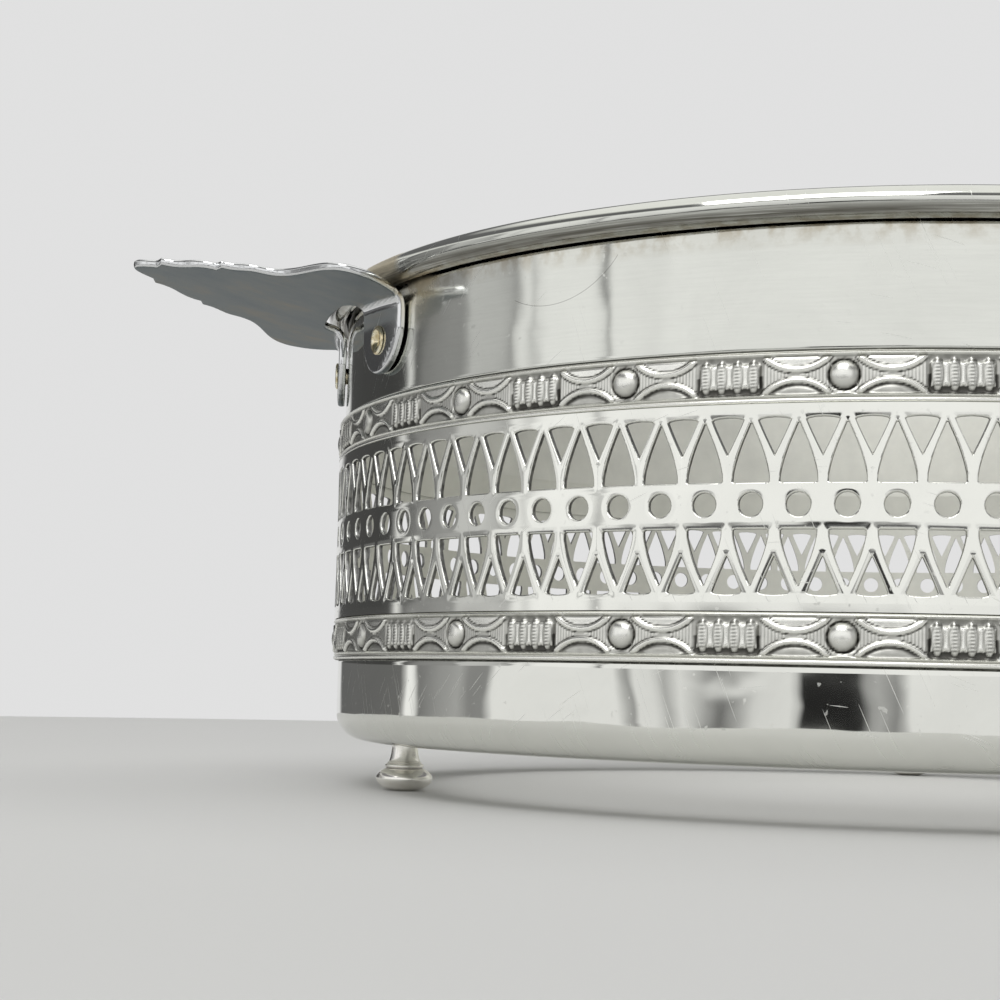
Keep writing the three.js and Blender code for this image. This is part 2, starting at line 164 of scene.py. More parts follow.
# %% [markdown]
# A finished mesh becomes an object that rides on the holder, and the CAD nodes that it is
# given are hidden. The sheet was only polished outside, so a piece of the body gets a second
# material on the faces that look at the axis or lie on the flange. That is decided by where
# a face looks, which is quicker and surer than picking the faces by hand.

# %% Finishing a piece
LOOKS_INWARDS = 0.3
LOOKS_UP = 0.5
WALL_REACH = 102.8  # farther out is the back of the ornament's sheet or the bead
LINING_TOP = 88.5
FLANGE_REACH = 99.0


def faces_inside(face):
    """Whether a face of the body's sheet looks at the axis, or up from the flange."""
    middle = face.calc_center_median()
    radius = math.hypot(middle.x, middle.y)
    inwards = -(face.normal.x * middle.x + face.normal.y * middle.y) / radius
    on_wall = inwards > LOOKS_INWARDS and radius < WALL_REACH and middle.z < LINING_TOP
    return on_wall or (face.normal.z > LOOKS_UP and radius < FLANGE_REACH)


def finish_piece(name, bm, material, slot, *nodes, sharp=40, lining=None):
    """Makes a riding object of a mesh drawn in millimetres, and hides the CAD nodes it is given."""
    if lining:
        bm.normal_update()
        for face in bm.faces:
            face.material_index = 1 if faces_inside(face) else 0
    bmesh.ops.scale(bm, vec=(MM, MM, MM), verts=bm.verts)
    mesh = bpy.data.meshes.new(name)
    bm.to_mesh(mesh)
    bm.free()
    for finish in filter(None, (material, lining)):
        mesh.materials.append(finish)
    mesh.shade_smooth()
    mesh.set_sharp_from_angle(angle=math.radians(sharp))
    piece = bpy.data.objects.new(name, mesh)
    scene.collection.objects.link(piece)
    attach(piece, "root")
    if nodes:
        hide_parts(*nodes)
    print(f"{name}: {len(mesh.polygons)} faces")
    return piece


print("lining up to", LINING_TOP, "mm")

# %% [markdown]
# ## Helpers for materials
#
# A finish is a small tree of nodes. It can be wired by hand in the shader editor, and in a
# script a few helpers keep it readable: one adds a node and fills or links its sockets by
# name, some do sums, and one joins the results to the shader. They find the node tree from
# the outputs that they are given. Every pattern reads object coordinates in metres, so a
# scratch has the same size on a foot as on the wall.

# %% Material helpers: nodes
def plug(value, socket):
    """Links an output to a socket, or writes a number, a vector or a colour into it."""
    if isinstance(value, bpy.types.NodeSocket):
        socket.id_data.links.new(value, socket)
    elif socket.type == "RGBA":
        socket.default_value = (*value, 1)
    else:
        socket.default_value = value


def tree_of(values):
    """The node tree that the first output among some values belongs to."""
    return next(value.id_data for value in values if isinstance(value, bpy.types.NodeSocket))


def put(kind, settings=None, tree=None, **sockets):
    """Adds a node. A socket's name has _ for a space, and its value may be an output. Only a
    node that gets no output has to be told its tree."""
    made = (tree or tree_of(sockets.values())).nodes.new(kind)
    for name, value in (settings or {}).items():
        setattr(made, name, value)
    for name, value in sockets.items():
        plug(value, made.inputs[name.replace("_", " ")])
    return made


def combine(operation, *values):
    """A math node on numbers or outputs."""
    made = put("ShaderNodeMath", {"operation": operation}, tree_of(values))
    for socket, value in zip(made.inputs, values):
        plug(value, socket)
    return made.outputs[0]


def product(first, *factors):
    """The product of numbers or outputs."""
    for factor in factors:
        first = combine("MULTIPLY", first, factor)
    return first


def scaled(value, factor, shift):
    """A value times a factor, plus a shift."""
    return combine("MULTIPLY_ADD", value, factor, shift)


def between(value, start, end, most=1.0):
    """0 where a value is at start, rising to the most where it is at end, and level beyond."""
    made = put("ShaderNodeMapRange", Value=value, From_Min=start, From_Max=end, To_Max=most)
    return made.outputs[0]


# %% Material helpers: colours and shaders
def ramp(value, *stops):
    """A colour ramp whose stops are (place, grey or colour)."""
    made = put("ShaderNodeValToRGB", Fac=value)
    elements = made.color_ramp.elements
    while len(elements) < len(stops):
        elements.new(0.5)
    for element, (place, shade) in zip(elements, stops):
        element.position = place
        element.color = (shade, shade, shade, 1) if isinstance(shade, float) else (*shade, 1)
    return made.outputs["Color"]


def mix_colour(factor, first, second):
    """Mixes two colours, each a triple or an output."""
    values = (factor, first, second)
    made = put("ShaderNodeMix", {"data_type": "RGBA"}, tree_of(values))
    for index, value in zip((0, 6, 7), values):
        plug(value, made.inputs[index])
    return made.outputs[2]


def axes_of(vector):
    """The three parts of a place or a direction."""
    return put("ShaderNodeSeparateXYZ", Vector=vector).outputs[:]


def new_finish(name):
    """A plain metal material, its shader and its object coordinates."""
    material = bpy.data.materials.new(name)
    material.use_nodes = True
    shader = material.node_tree.nodes["Principled BSDF"]
    shader.inputs["Metallic"].default_value = 1.0
    place = put("ShaderNodeTexCoord", tree=material.node_tree).outputs["Object"]
    return material, shader, place


def coat(shader, **looks):
    """Joins outputs to the shader's colour, roughness or normal."""
    for name, look in looks.items():
        plug(look, shader.inputs[name.replace("_", " ")])


def worn_so_far(shader, name):
    """The output that a socket of the shader has already."""
    return shader.inputs[name].links[0].from_socket


# %% [markdown]
# Four patterns serve all the finishes: soft clouds, clouds drawn out into streaks as a brush
# or a lathe leaves them, straight hairlines, and a bump that turns any of them into relief.
# Painted image maps would do too, but noise has no seams and no largest size.

# %% Material helpers: patterns
HAIRLINE_CELL = 0.12 * MM  # how thick the flat cells are that a hairline is cut from
HAIRLINE_CORE = 0.33


def cloud(place, scale, detail=2.0, roughness=0.5, distortion=0.0):
    """Soft noise between 0 and 1."""
    return put(
        "ShaderNodeTexNoise", Vector=place, Scale=scale, Detail=detail,
        Roughness=roughness, Distortion=distortion,
    ).outputs["Fac"]


def stretched(place, scale, turn=(0, 0, 0)):
    """Coordinates in a turned frame, in which a pattern is finer the larger the scale."""
    return put(
        "ShaderNodeMapping", {"vector_type": "TEXTURE"},
        Vector=place, Rotation=turn, Scale=[1 / value for value in scale],
    ).outputs["Vector"]


def streaks(place, scale, detail, roughness=0.5, turn=(0, 0, 0)):
    """Noise that is drawn out along the axes with the small scales."""
    return cloud(stretched(place, scale, turn), 1.0, detail, roughness)


def raised(height, strength, distance, normal=None):
    """A bump of that height in metres, on top of an earlier one where there is one."""
    made = put("ShaderNodeBump", Height=height, Strength=strength, Distance=distance)
    if normal:
        plug(normal, made.inputs["Normal"])
    return made.outputs["Normal"]


def scratches(place, turn, length, share):
    """Straight hairlines: flat, wide cells that the surface cuts into lines. Only the given
    share of the cells is kept."""
    flat_cells = stretched(place, (1 / length, 1 / length, 1 / HAIRLINE_CELL), turn)
    cells = put("ShaderNodeTexVoronoi", Vector=flat_cells, Scale=1.0).outputs
    line = combine("LESS_THAN", cells["Distance"], HAIRLINE_CORE)
    kept = put("ShaderNodeSeparateColor", Color=cells["Color"]).outputs[0]
    return product(line, combine("GREATER_THAN", kept, 1 - share))


print("hairlines from cells", HAIRLINE_CELL, "m thick")

# %% [markdown]
# ## Chrome
#
# Chrome plate is a mirror, so what makes it look real is what disturbs the mirror: the
# sheet is never quite true, it carries fine scratches and cloudy patches from wiping, and
# small pits where the plating thinned. The slow waves are a bump of a few tenths of a
# millimetre over some centimetres, too slight to need a mesh of their own.

# %% Chrome finishes
DIMPLE_SHARE = 0.035  # depth of the dies' dimples against the slow waves
SCRATCH_ROUGHNESS = 0.24
PIT_ROUGHNESS = 0.12


def wavy_normal(place, wave):
    """Slow waves in a pressed sheet, and the finer dimples of its dies."""
    slow = streaks(place, (36, 36, 44), detail=1.0)
    fine = cloud(place, 160.0, detail=1.0)
    normal = raised(slow, 1.0, wave * MM)
    return raised(fine, 1.0, DIMPLE_SHARE * wave * MM, normal)


def chrome(name, tint, dull, wave, haze, scratch=0.03):
    """Mirror plate. dull is its least roughness, haze how much wiping adds to it."""
    material, shader, place = new_finish(name)
    smear = cloud(place, 55.0, detail=4.0, roughness=0.65, distortion=0.6)
    lines = combine(
        "MAXIMUM",
        scratches(place, (1.2, 0.25, 0.5), 14 * MM, scratch),
        scratches(place, (-0.7, 0.9, 0.2), 7 * MM, scratch),
    )
    pits = ramp(cloud(place, 900.0, detail=1.0), (0.70, 0.0), (0.74, 1.0))
    rough = scaled(smear, haze, dull)
    rough = scaled(lines, SCRATCH_ROUGHNESS, rough)
    rough = scaled(pits, PIT_ROUGHNESS, rough)
    shade = ramp(smear, (0.3, tuple(0.93 * value for value in tint)), (0.7, tint))
    coat(shader, Base_Color=shade, Roughness=rough, Normal=wavy_normal(place, wave))
    return material, shader, place


mirror_chrome, *_ = chrome(
    "mirror_chrome", (0.82, 0.825, 0.775), 0.02, wave=0.42, haze=0.04, scratch=0.06,
)
gallery_chrome, gallery_shader, gallery_place = chrome(
    "gallery_chrome", (0.88, 0.885, 0.83), 0.04, wave=0.30, haze=0.08,
)
print("finishes:", mirror_chrome.name, gallery_chrome.name)

# %% [markdown]
# Inside, the plate was only dipped and never buffed, so it is a soft, pale satin. That also
# keeps the far wall quiet where it is seen through the openings. The walls of the openings
# get a painted shade, a dark and rough finish, which draws a thin line round every opening.

# %% Lining finish
satin_lining, shader, place = new_finish("satin_lining")
bloom = cloud(place, 130.0, detail=4.0, roughness=0.6)
drag = streaks(place, (90, 90, 1500), detail=2.0)
coat(
    shader,
    Base_Color=ramp(bloom, (0.3, (0.74, 0.74, 0.69)), (0.7, (0.84, 0.84, 0.785))),
    Roughness=scaled(bloom, 0.16, 0.48),
    Normal=raised(drag, 0.4, 0.006 * MM),
)

# painted shade: the walls of the openings are coloured dark in place of the dark they would mirror
punched_edge_painted_shade, shader, place = new_finish("punched_edge_painted_shade")
tear = cloud(place, 900.0, detail=3.0)
coat(
    shader,
    Base_Color=ramp(tear, (0.35, (0.16, 0.16, 0.155)), (0.65, (0.34, 0.34, 0.33))),
    Roughness=scaled(tear, 0.2, 0.3),
)
print("finishes:", satin_lining.name, punched_edge_painted_shade.name)

# %% [markdown]
# The upper band and the rim share one drawn sheet, duller than the rest and brushed round:
# its streaks are long round the wall and fine up it. It is mixed from the same chrome, and
# everything below is laid over that as colour and roughness by place.

# %% Upper band: brushing
band_chrome, shader, place = chrome(
    "band_chrome", (0.76, 0.77, 0.72), 0.04, wave=0.50, haze=0.06, scratch=0.02,
)
x_place, y_place, height = axes_of(place)
brushed = streaks(place, (110, 110, 2400), detail=4.0, roughness=0.7)
coat(shader, Normal=raised(brushed, 0.4, 0.004 * MM, worn_so_far(shader, "Normal")))
brush_marks = ramp(brushed, (0.4, 0.0), (0.7, 0.12))
print("finish:", band_chrome.name)

# %% [markdown]
# Near the left handle, where no cloth reached, the plating has gone brown on the bead and
# under it. The height and the distance from the handle's middle give the patch, and noise
# breaks up its edge.

# %% Upper band: the brown stain
STAIN_ASIDE = 31.5 * MM  # from the handle's middle to the stain's, towards the viewer
STAIN_HALF = 7.5 * MM
STAIN_LEAN = 3.0 * MM  # how much nearer to the handle it lies on the bead
STAIN_ON_BEAD = 2.2
LEFT_SIDE = -60 * MM

patchy = cloud(place, 420.0, detail=3.0)
on_bead = between(height, 84.8 * MM, 86.2 * MM, most=STAIN_ON_BEAD)
from_patch = combine("ADD", y_place, scaled(on_bead, -STAIN_LEAN, STAIN_ASIDE))
off_patch = combine("DIVIDE", combine("ABSOLUTE", from_patch), STAIN_HALF)
stain = product(
    combine("SUBTRACT", 1.0, off_patch),
    combine("LESS_THAN", x_place, LEFT_SIDE),
    between(height, 76.0 * MM, 88.0 * MM),
    combine("ADD", on_bead, scaled(patchy, 3.0, 0.2)),
)
tarnish = between(stain, 0.0, 1.0)
print("stain:", STAIN_HALF, "m to each side")

# %% [markdown]
# One long, curved scratch crosses the band. On the unrolled wall it is part of a circle, so
# a point is on it where its distance from the circle's middle is the circle's radius.

# %% Upper band: the long scratch
WALL_RADIUS = 102.6
SCRATCH_BEARING = math.radians(144.5)
SCRATCH_MIDDLE = 91.9 * MM  # height of the circle's middle
SCRATCH_RADIUS = 15.46 * MM
SCRATCH_HALF_WIDTH = 0.06 * MM
SCRATCH_SHIFT = 2.9 * MM
SCRATCH_HALF_LENGTH = 9.6 * MM
SCRATCH_TOP = 83.5 * MM

bearing = combine("ARCTAN2", y_place, x_place)
along = scaled(bearing, WALL_RADIUS * MM, WALL_RADIUS * MM * SCRATCH_BEARING)
above = combine("SUBTRACT", height, SCRATCH_MIDDLE)
from_middle = combine("SQRT", scaled(along, along, product(above, above)))
off_line = combine("ABSOLUTE", combine("SUBTRACT", from_middle, SCRATCH_RADIUS))
off_centre = combine("ABSOLUTE", combine("SUBTRACT", along, SCRATCH_SHIFT))
long_scratch = product(
    combine("LESS_THAN", off_line, SCRATCH_HALF_WIDTH),
    combine("LESS_THAN", off_centre, SCRATCH_HALF_LENGTH),
    combine("LESS_THAN", height, SCRATCH_TOP),
)
print("scratch:", 2 * SCRATCH_HALF_LENGTH, "m long")

# %% [markdown]
# Painted shade darkens the lower half of the bead and the wall just under it all the way
# round, with a brown haze below it. Both are ramps over the height, thinned by noise. Then the
# layers are laid over the chrome one after the other, and the painted shade comes last,
# because it hides what is under it.

# %% Upper band: haze, painted bead shade and all the layers
haze = ramp(
    between(height, 81.5 * MM, 86.0 * MM),
    (0.0, 0.0), (0.62, 0.55), (0.80, 0.8), (1.0, 0.0),
)
haze = product(haze, ramp(patchy, (0.42, 0.2), (0.62, 1.0)))
# painted shade: dark on the lower half of the bead and just under it
painted_bead_shade = ramp(
    between(height, 84.0 * MM, 88.0 * MM),
    (0.12, 0.0), (0.28, 0.40), (0.50, 1.0), (0.90, 0.0),
)
rubbed = streaks(place, (50, 50, 3400), detail=3.0, roughness=0.6)
painted_bead_shade = product(painted_bead_shade, ramp(rubbed, (0.48, 1.0), (0.68, 0.35)))

layers = {
    "stain": (product(tarnish, 0.8), (0.76, 0.66, 0.46)),
    "brush marks": (brush_marks, (0.52, 0.52, 0.50)),
    "long scratch": (product(long_scratch, 0.6), (0.30, 0.30, 0.28)),
    "haze": (haze, (0.40, 0.345, 0.25)),
    "painted_bead_shade": (product(painted_bead_shade, 0.92), (0.085, 0.078, 0.062)),
}
colour = worn_so_far(shader, "Base Color")
for share, layer_colour in layers.values():
    colour = mix_colour(share, colour, layer_colour)
dulled = scaled(tarnish, 0.3, worn_so_far(shader, "Roughness"))
coat(shader, Base_Color=colour, Roughness=dulled)
print("layers:", ", ".join(layers))

# %% [markdown]
# The stamped strips never see the polishing wheel in their hollows, so they are a soft
# silver-grey. Shade is painted on them: the strips' meshes carry an attribute that says how
# much painted shade each point gets, in the hollows, round the beads, in the reeds and on the
# lower side of the balls, which the finish reads with a little grime noise: high points are
# bright and smooth, shaded places dark and rough.

# %% Ornament finish
strip_silver, shader, place = new_finish("strip_silver")
attribute = put("ShaderNodeAttribute", {"attribute_name": "painted_shade"}, strip_silver.node_tree)
shade_amount = attribute.outputs["Fac"]
grime = cloud(place, 700.0, detail=3.0)
# painted shade from the mesh's attribute, varied by grime noise
dark = product(shade_amount, scaled(grime, 0.5, 0.75))
bright_to_dark = ((0.08, (0.94, 0.94, 0.89)), (0.34, (0.60, 0.60, 0.56)), (0.66, (0.09, 0.088, 0.08)))
grain = cloud(place, 2600.0, detail=2.0)
coat(
    shader,
    Base_Color=ramp(dark, *bright_to_dark),
    Roughness=scaled(dark, 0.30, 0.22),
    Normal=raised(grain, 0.5, 0.012 * MM),
)
print("finish:", strip_silver.name)

# %% [markdown]
# ## The other finishes
#
# The handles are plated like the body, but underneath the plate is a dull blue-grey satin
# with faint cloudy stains, because that side was never buffed, and its colour is darkened
# further as painted shade for a side that faces down. Which side a point is on is read from
# the true normal, so one material serves the whole plate.

# %% Handle finish
handle_chrome, shader, place = chrome(
    "handle_chrome", (0.80, 0.81, 0.815), 0.07, wave=0.10, haze=0.08,
)
geometry = put("ShaderNodeNewGeometry", tree=handle_chrome.node_tree).outputs
upwards = axes_of(geometry["True Normal"])[2]
faces_down = ramp(product(upwards, -1.0), (0.6, 0.0), (0.85, 1.0))
stain = streaks(place, (70, 110, 70), detail=5.0, roughness=0.6, turn=(0, 0, 0.4))
# painted shade: the underside's satin colour is darker, as the shade of faces turned down
satin_and_shade_colour = ramp(
    stain,
    (0.3, (0.125, 0.150, 0.165)), (0.52, (0.185, 0.205, 0.208)), (0.72, (0.27, 0.245, 0.205)),
)
satin_rough = scaled(stain, 0.15, 0.38)
rough = put(
    "ShaderNodeMix", Factor=faces_down, A=worn_so_far(shader, "Roughness"), B=satin_rough,
).outputs[0]
colour = mix_colour(faces_down, worn_so_far(shader, "Base Color"), satin_and_shade_colour)
coat(shader, Base_Color=colour, Roughness=rough)
print("finish:", handle_chrome.name)

# %% [markdown]
# The rivets are worn brass, and the feet a warm satin plate with painted shade in their
# grooves: dark lines that the geometry node's pointiness finds. The wire and the screws are
# plain drawn steel. Each is noise on a few close colours, because none is seen large.

# %% Brass, satin and steel finishes
worn_brass, shader, place = new_finish("worn_brass")
wear = cloud(place, 900.0, detail=4.0)
brass_colours = ((0.32, (0.62, 0.51, 0.30)), (0.5, (0.88, 0.79, 0.56)), (0.66, (0.97, 0.93, 0.77)))
coat(
    shader,
    Base_Color=ramp(wear, *brass_colours),
    Roughness=scaled(wear, 0.3, 0.10),
    Normal=raised(wear, 0.6, 0.03 * MM),
)

satin_plate, shader, place = new_finish("satin_plate")
rings = streaks(place, (40, 40, 3400), detail=3.0)
spots = cloud(place, 500.0, detail=4.0)
pointy = put("ShaderNodeNewGeometry", tree=satin_plate.node_tree).outputs["Pointiness"]
# painted shade: darker in the grooves that pointiness finds
groove = product(ramp(pointy, (0.44, 1.0), (0.49, 0.0)), 0.6)
plate_colour = ramp(spots, (0.35, (0.88, 0.86, 0.80)), (0.62, (0.98, 0.965, 0.92)))
coat(
    shader,
    Base_Color=mix_colour(groove, plate_colour, (0.10, 0.09, 0.08)),
    Roughness=scaled(spots, 0.20, 0.12),
    Normal=raised(rings, 0.5, 0.008 * MM),
)

drawn_steel, shader, place = new_finish("drawn_steel")
lines = streaks(place, (300, 300, 2200), detail=3.0)
coat(
    shader,
    Base_Color=ramp(lines, (0.3, (0.44, 0.43, 0.42)), (0.7, (0.62, 0.61, 0.59))),
    Roughness=scaled(lines, 0.25, 0.28),
    Normal=raised(lines, 0.4, 0.01 * MM),
)
print("finishes:", worn_brass.name, satin_plate.name, drawn_steel.name)

# %% [markdown]
# ## The lower band
#
# The sheet turns in at the bottom through a rounded corner to a flat flange, on which the
# dish stands. It was drawn over a former, so one outline of the sheet's section, turned
# round the axis, is the whole shape. In its last half millimetre it rounds over towards the
# strip, which gives the seam its soft line.

# %% Lower band
SHEET = 0.8
CORNER_RADIUS = 5.0
FLANGE_INNER = 84.0
FLANGE_MIDDLE = 95.0
EDGE_BREAK = 0.2
FOOT_HEIGHT = 8.4
STRIP_LOW = 22.85
STEPS_ROUND = 288

corner = (WALL_RADIUS - CORNER_RADIUS, FOOT_HEIGHT + CORNER_RADIUS)
lower_outside = [
    (FLANGE_INNER + EDGE_BREAK, FOOT_HEIGHT),
    (FLANGE_MIDDLE, FOOT_HEIGHT),
    *arc(*corner, CORNER_RADIUS, -90, 0, 16),
    (WALL_RADIUS, 14.2),
    (WALL_RADIUS, 18.0),
    (WALL_RADIUS, 21.8),
    (WALL_RADIUS, 22.38),
    (102.57, 22.60),
    (102.48, 22.76),
    (102.34, STRIP_LOW),
]
lower_inside = [
    (101.72, STRIP_LOW),
    (101.78, 21.0),
    (WALL_RADIUS - SHEET, 19.0),
    *arc(*corner, CORNER_RADIUS - SHEET, 0, -90, 10),
    (FLANGE_MIDDLE, FOOT_HEIGHT + SHEET),
    (FLANGE_INNER + EDGE_BREAK, FOOT_HEIGHT + SHEET),
    (FLANGE_INNER, FOOT_HEIGHT + SHEET - EDGE_BREAK),
    (FLANGE_INNER, FOOT_HEIGHT + EDGE_BREAK),
]
finish_piece(
    "lower_band", spun(lower_outside + lower_inside, STEPS_ROUND), mirror_chrome, "chrome_body",
    lining=satin_lining,
)

# %% [markdown]
# ## The upper band and the rolled rim
#
# At the top the same sheet is rolled outwards and down over a steel wire. The bead could be
# a separate ring, but the photograph shows the sheet run into it without a seam, so the
# outline goes up the wall, round the roll, and back down inside.

# %% Upper band and rim
STRIP_HIGH = 66.8
WIRE_DIAMETER = 2.4
WIRE_CLEARANCE = 0.3
CURL_INSIDE = WIRE_DIAMETER / 2 + WIRE_CLEARANCE
BEAD_RADIUS = CURL_INSIDE + SHEET
BEAD_BOTTOM = 85.1
CURL_RADIUS = WALL_RADIUS + CURL_INSIDE
CURL_HEIGHT = BEAD_BOTTOM + BEAD_RADIUS
CURL_SWEEP = 285

upper_outline = [
    (102.10, STRIP_HIGH),
    (102.40, 66.88),
    (102.55, 67.08),
    (WALL_RADIUS, 67.35),
    (WALL_RADIUS, 67.7),
    (WALL_RADIUS, 75.0),
    (WALL_RADIUS, 83.6),
    (WALL_RADIUS, 84.2),
    (WALL_RADIUS, 84.6),
    *arc(CURL_RADIUS, CURL_HEIGHT, CURL_INSIDE, 180, 180 - CURL_SWEEP, 20),
    *arc(CURL_RADIUS, CURL_HEIGHT, BEAD_RADIUS, 180 - CURL_SWEEP, 180, 32),
    (WALL_RADIUS - SHEET, 84.0),
    (WALL_RADIUS - SHEET, 70.0),
    (101.78, 68.2),
    (101.74, STRIP_HIGH),
]
finish_piece(
    "upper_band", spun(upper_outline, STEPS_ROUND), band_chrome, "chrome_body",
    lining=satin_lining,
)

# %% [markdown]
# ## The stamped ornament
#
# Each strip repeats one motif twenty times: a ball in a round seat, a reeded waist between
# two arcs on each side of it, and between the waists a sunk block with four leaf-shaped,
# toothed bars and bright panels between them. It could be modelled from many small solids,
# but the real strip is one sheet pushed into a die, so it is a single grid whose points are
# pushed out by a height, as the die did. First come the motif's sizes.

# %% Ornament: its sizes
STRIP_UNITS = 20
STRIP_HEIGHT = 7.4
STRIP_GROUND = 102.85
STRIP_TURN = math.radians(7.55)  # bearing of the first ball
UNIT_RADIUS = 103.7
UNIT_LENGTH = UNIT_RADIUS * FULL_TURN / STRIP_UNITS
ORNAMENT_MIDDLE = 3.93
ORNAMENT_HALF = 2.6
BALL_RADIUS = 2.05
SEAT_RADIUS = 2.3
WAIST = 6.6  # from the ball's middle to the narrowest place between the arcs
UPPER_ARC_ABOVE = 7.35  # from the ornament's middle to the middle of an upper arc
LOWER_ARC_BELOW = 7.30
ARC_OUTSIDE = 7.0
UPPER_ARC_INSIDE = 6.15
LOWER_ARC_INSIDE = 6.25
ARC_GROOVE = 0.20
ARC_SHADE = 0.18  # width of the dark line outside the arcs
REED_PITCH = 0.49
REED_FROM = 0.7  # from the waist, where the reeds begin to rise
REED_RISE = 0.6
BLOCK_EDGE = 11.515  # from the ball's middle to the sunk block
BLOCK_MARGIN = 0.28
BAR_PITCH = 2.34
LEAF_HALF = 0.80
LEAF_REACH = 2.3
LEAF_TAPER = 0.44
PANEL_REACH = 1.55
GROOVE_WIDTH = 0.24
SERRATION = 0.5
TOOTH_HALF = 0.4
TOOTH_DEPTH = 0.12
print("motif:", round(UNIT_LENGTH, 2), "mm long")

# %% [markdown]
# The die's form is a height for every place of the motif: u runs along the strip from the
# ball and w up from the ornament's middle. Every part of the motif has a function, which
# gives the height in millimetres and then, for the finish, how much painted shade the place
# gets, from 0 to 1.

# %% Ornament: borders, arcs and blocks
def bead(place, start, end, low, high):
    """Height of a round bead that runs from one place to another."""
    across = min(abs(2 * place - start - end) / (end - start), 1.0)
    return low + (high - low) * math.sqrt(1.0 - across * across)


def border(v):
    """Height and painted shade of the smooth borders above and below the ornament."""
    if v < 0.80:
        start, end, high = 0.0, 0.80, 0.72
    elif v < ORNAMENT_MIDDLE - ORNAMENT_HALF:
        start, end, high = 0.81, 1.33, 0.62
    else:
        start, end, high = 6.55, 7.39, 0.74
    edge = min(abs(2 * v - start - end) / (end - start), 1.0)
    # painted shade on the beads' rounded sides
    return bead(v, start, end, 0.10, high), 0.9 * edge ** 6


def waist(u, w):
    """Two arcs with a reeded field between them, at a distance u from the ball."""
    along = u - WAIST
    from_top = math.hypot(along, w - UPPER_ARC_ABOVE)
    from_bottom = math.hypot(along, w + LOWER_ARC_BELOW)
    if from_top < UPPER_ARC_INSIDE:
        in_groove = from_top > UPPER_ARC_INSIDE - ARC_GROOVE
        return 0.46 + 0.05 * (UPPER_ARC_INSIDE - from_top), 0.95 if in_groove else 0.05
    if from_top < ARC_OUTSIDE:
        return bead(from_top, UPPER_ARC_INSIDE, ARC_OUTSIDE, 0.40, 0.80), 0.0
    if from_bottom < LOWER_ARC_INSIDE:
        # inside the lower arc: a painted shadow just under its ridge
        inside = min((LOWER_ARC_INSIDE - from_bottom) / 0.7, 1.0)
        return 0.06 + 0.34 * inside, 0.92 - 0.54 * inside
    if from_bottom < ARC_OUTSIDE:
        return bead(from_bottom, LOWER_ARC_INSIDE, ARC_OUTSIDE, 0.36, 0.80), 0.0
    if min(from_top, from_bottom) < ARC_OUTSIDE + ARC_SHADE:
        return 0.34, 0.85
    # painted shade in the reeds' valleys
    reeded = clamped((abs(along) - REED_FROM) / REED_RISE)
    swing = abs((u / REED_PITCH) % 1.0 - 0.5) * 2.0
    return 0.50 - 0.17 * reeded * swing, 0.05 + 0.46 * reeded * swing


def block(t, w):
    """The sunk block at a distance t from its middle: leaf-shaped bars with a toothed line
    down each, and bright hourglass panels between them."""
    nearest = (math.floor(t / BAR_PITCH) + 0.5) * BAR_PITCH
    if abs(nearest) > 1.6 * BAR_PITCH:
        nearest = math.copysign(1.5 * BAR_PITCH, nearest)
    across = abs(t - nearest)
    level = min(abs(w) / LEAF_REACH, 1.0)
    half = LEAF_HALF - LEAF_TAPER * level * level
    panel_end = PANEL_REACH + 0.45 * abs(BAR_PITCH / 2 - across)
    beside_panel = across > half and abs(w) > panel_end
    if abs(t) > 2 * BAR_PITCH - BLOCK_MARGIN or beside_panel or level == 1.0:
        # painted shade: the sunk ground is darker below the middle than above it
        return 0.14, 0.85 if w < 0 else 0.5
    groove = max(1.0 - abs(across - half) / GROOVE_WIDTH, 0.0)
    if across < half:
        end = max(level - 0.70, 0.0) / 0.30
        height, painted_shade = bead(across, -1.1 * half, 1.1 * half, 0.30, 0.80 - 0.30 * end), 0.08 + 0.3 * end
        if across < TOOTH_HALF and math.floor(w / (SERRATION / 2)) % 2 and level < 0.85:
            height, painted_shade = height - TOOTH_DEPTH, 0.55
    else:
        height, painted_shade = 0.58, 0.0
    return height - 0.16 * groove, max(painted_shade, 0.65 * groove)


print("an upper arc is", round(ARC_OUTSIDE - UPPER_ARC_INSIDE, 2), "mm wide")

# %% Ornament: the whole motif
SAMPLE_OFFSETS = ((0, 0), (0.07, 0.07), (-0.07, 0.07), (0.07, -0.07), (-0.07, -0.07))


def ornament(u, v):
    """Height above the strip's ground, and how much painted shade a point gets."""
    w = v - ORNAMENT_MIDDLE
    if abs(w) > ORNAMENT_HALF - 0.01:
        return border(v)
    from_ball = math.hypot(u, w)
    if from_ball < BALL_RADIUS:
        height = 0.12 + 0.95 * math.sqrt(1 - (from_ball / (BALL_RADIUS * 1.01)) ** 2)
        # painted shade: the ball darkens at its edge and towards its bottom
        return height, 0.12 + 0.30 * (from_ball / BALL_RADIUS) ** 3 - 0.06 * w
    if from_ball < SEAT_RADIUS:
        return 0.08, 0.80
    if abs(u) < BLOCK_EDGE:
        return waist(abs(u), w)
    return block(abs(u) - UNIT_LENGTH / 2, w)


def soft_ornament(u, v):
    """The ornament without hard steps: the mean of a point and four beside it."""
    samples = [ornament(u + du, clamped(v + dv, STRIP_HEIGHT)) for du, dv in SAMPLE_OFFSETS]
    return tuple(sum(values) / len(samples) for values in zip(*samples))


ball_top, _ = soft_ornament(0, ORNAMENT_MIDDLE)
print("a ball stands out by", round(ball_top, 2), "mm")

# %% [markdown]
# The grid operator gives even cells. Sliding its columns and rows to places that suit the
# motif keeps the face count down: they are close on the ball, half a reed wide on the reeds,
# and closest at the grooves beside the bars. The finished unit is wrapped round the axis, its
# long edges are extruded inwards to give the sheet its inner side, and nineteen turned copies
# close the ring.

# %% Ornament: the grid's columns and rows
def spread(start, end, step):
    """Evenly spaced places from start up to, but not including, end."""
    count = max(round((end - start) / step), 1)
    return [start + (end - start) * i / count for i in range(count)]


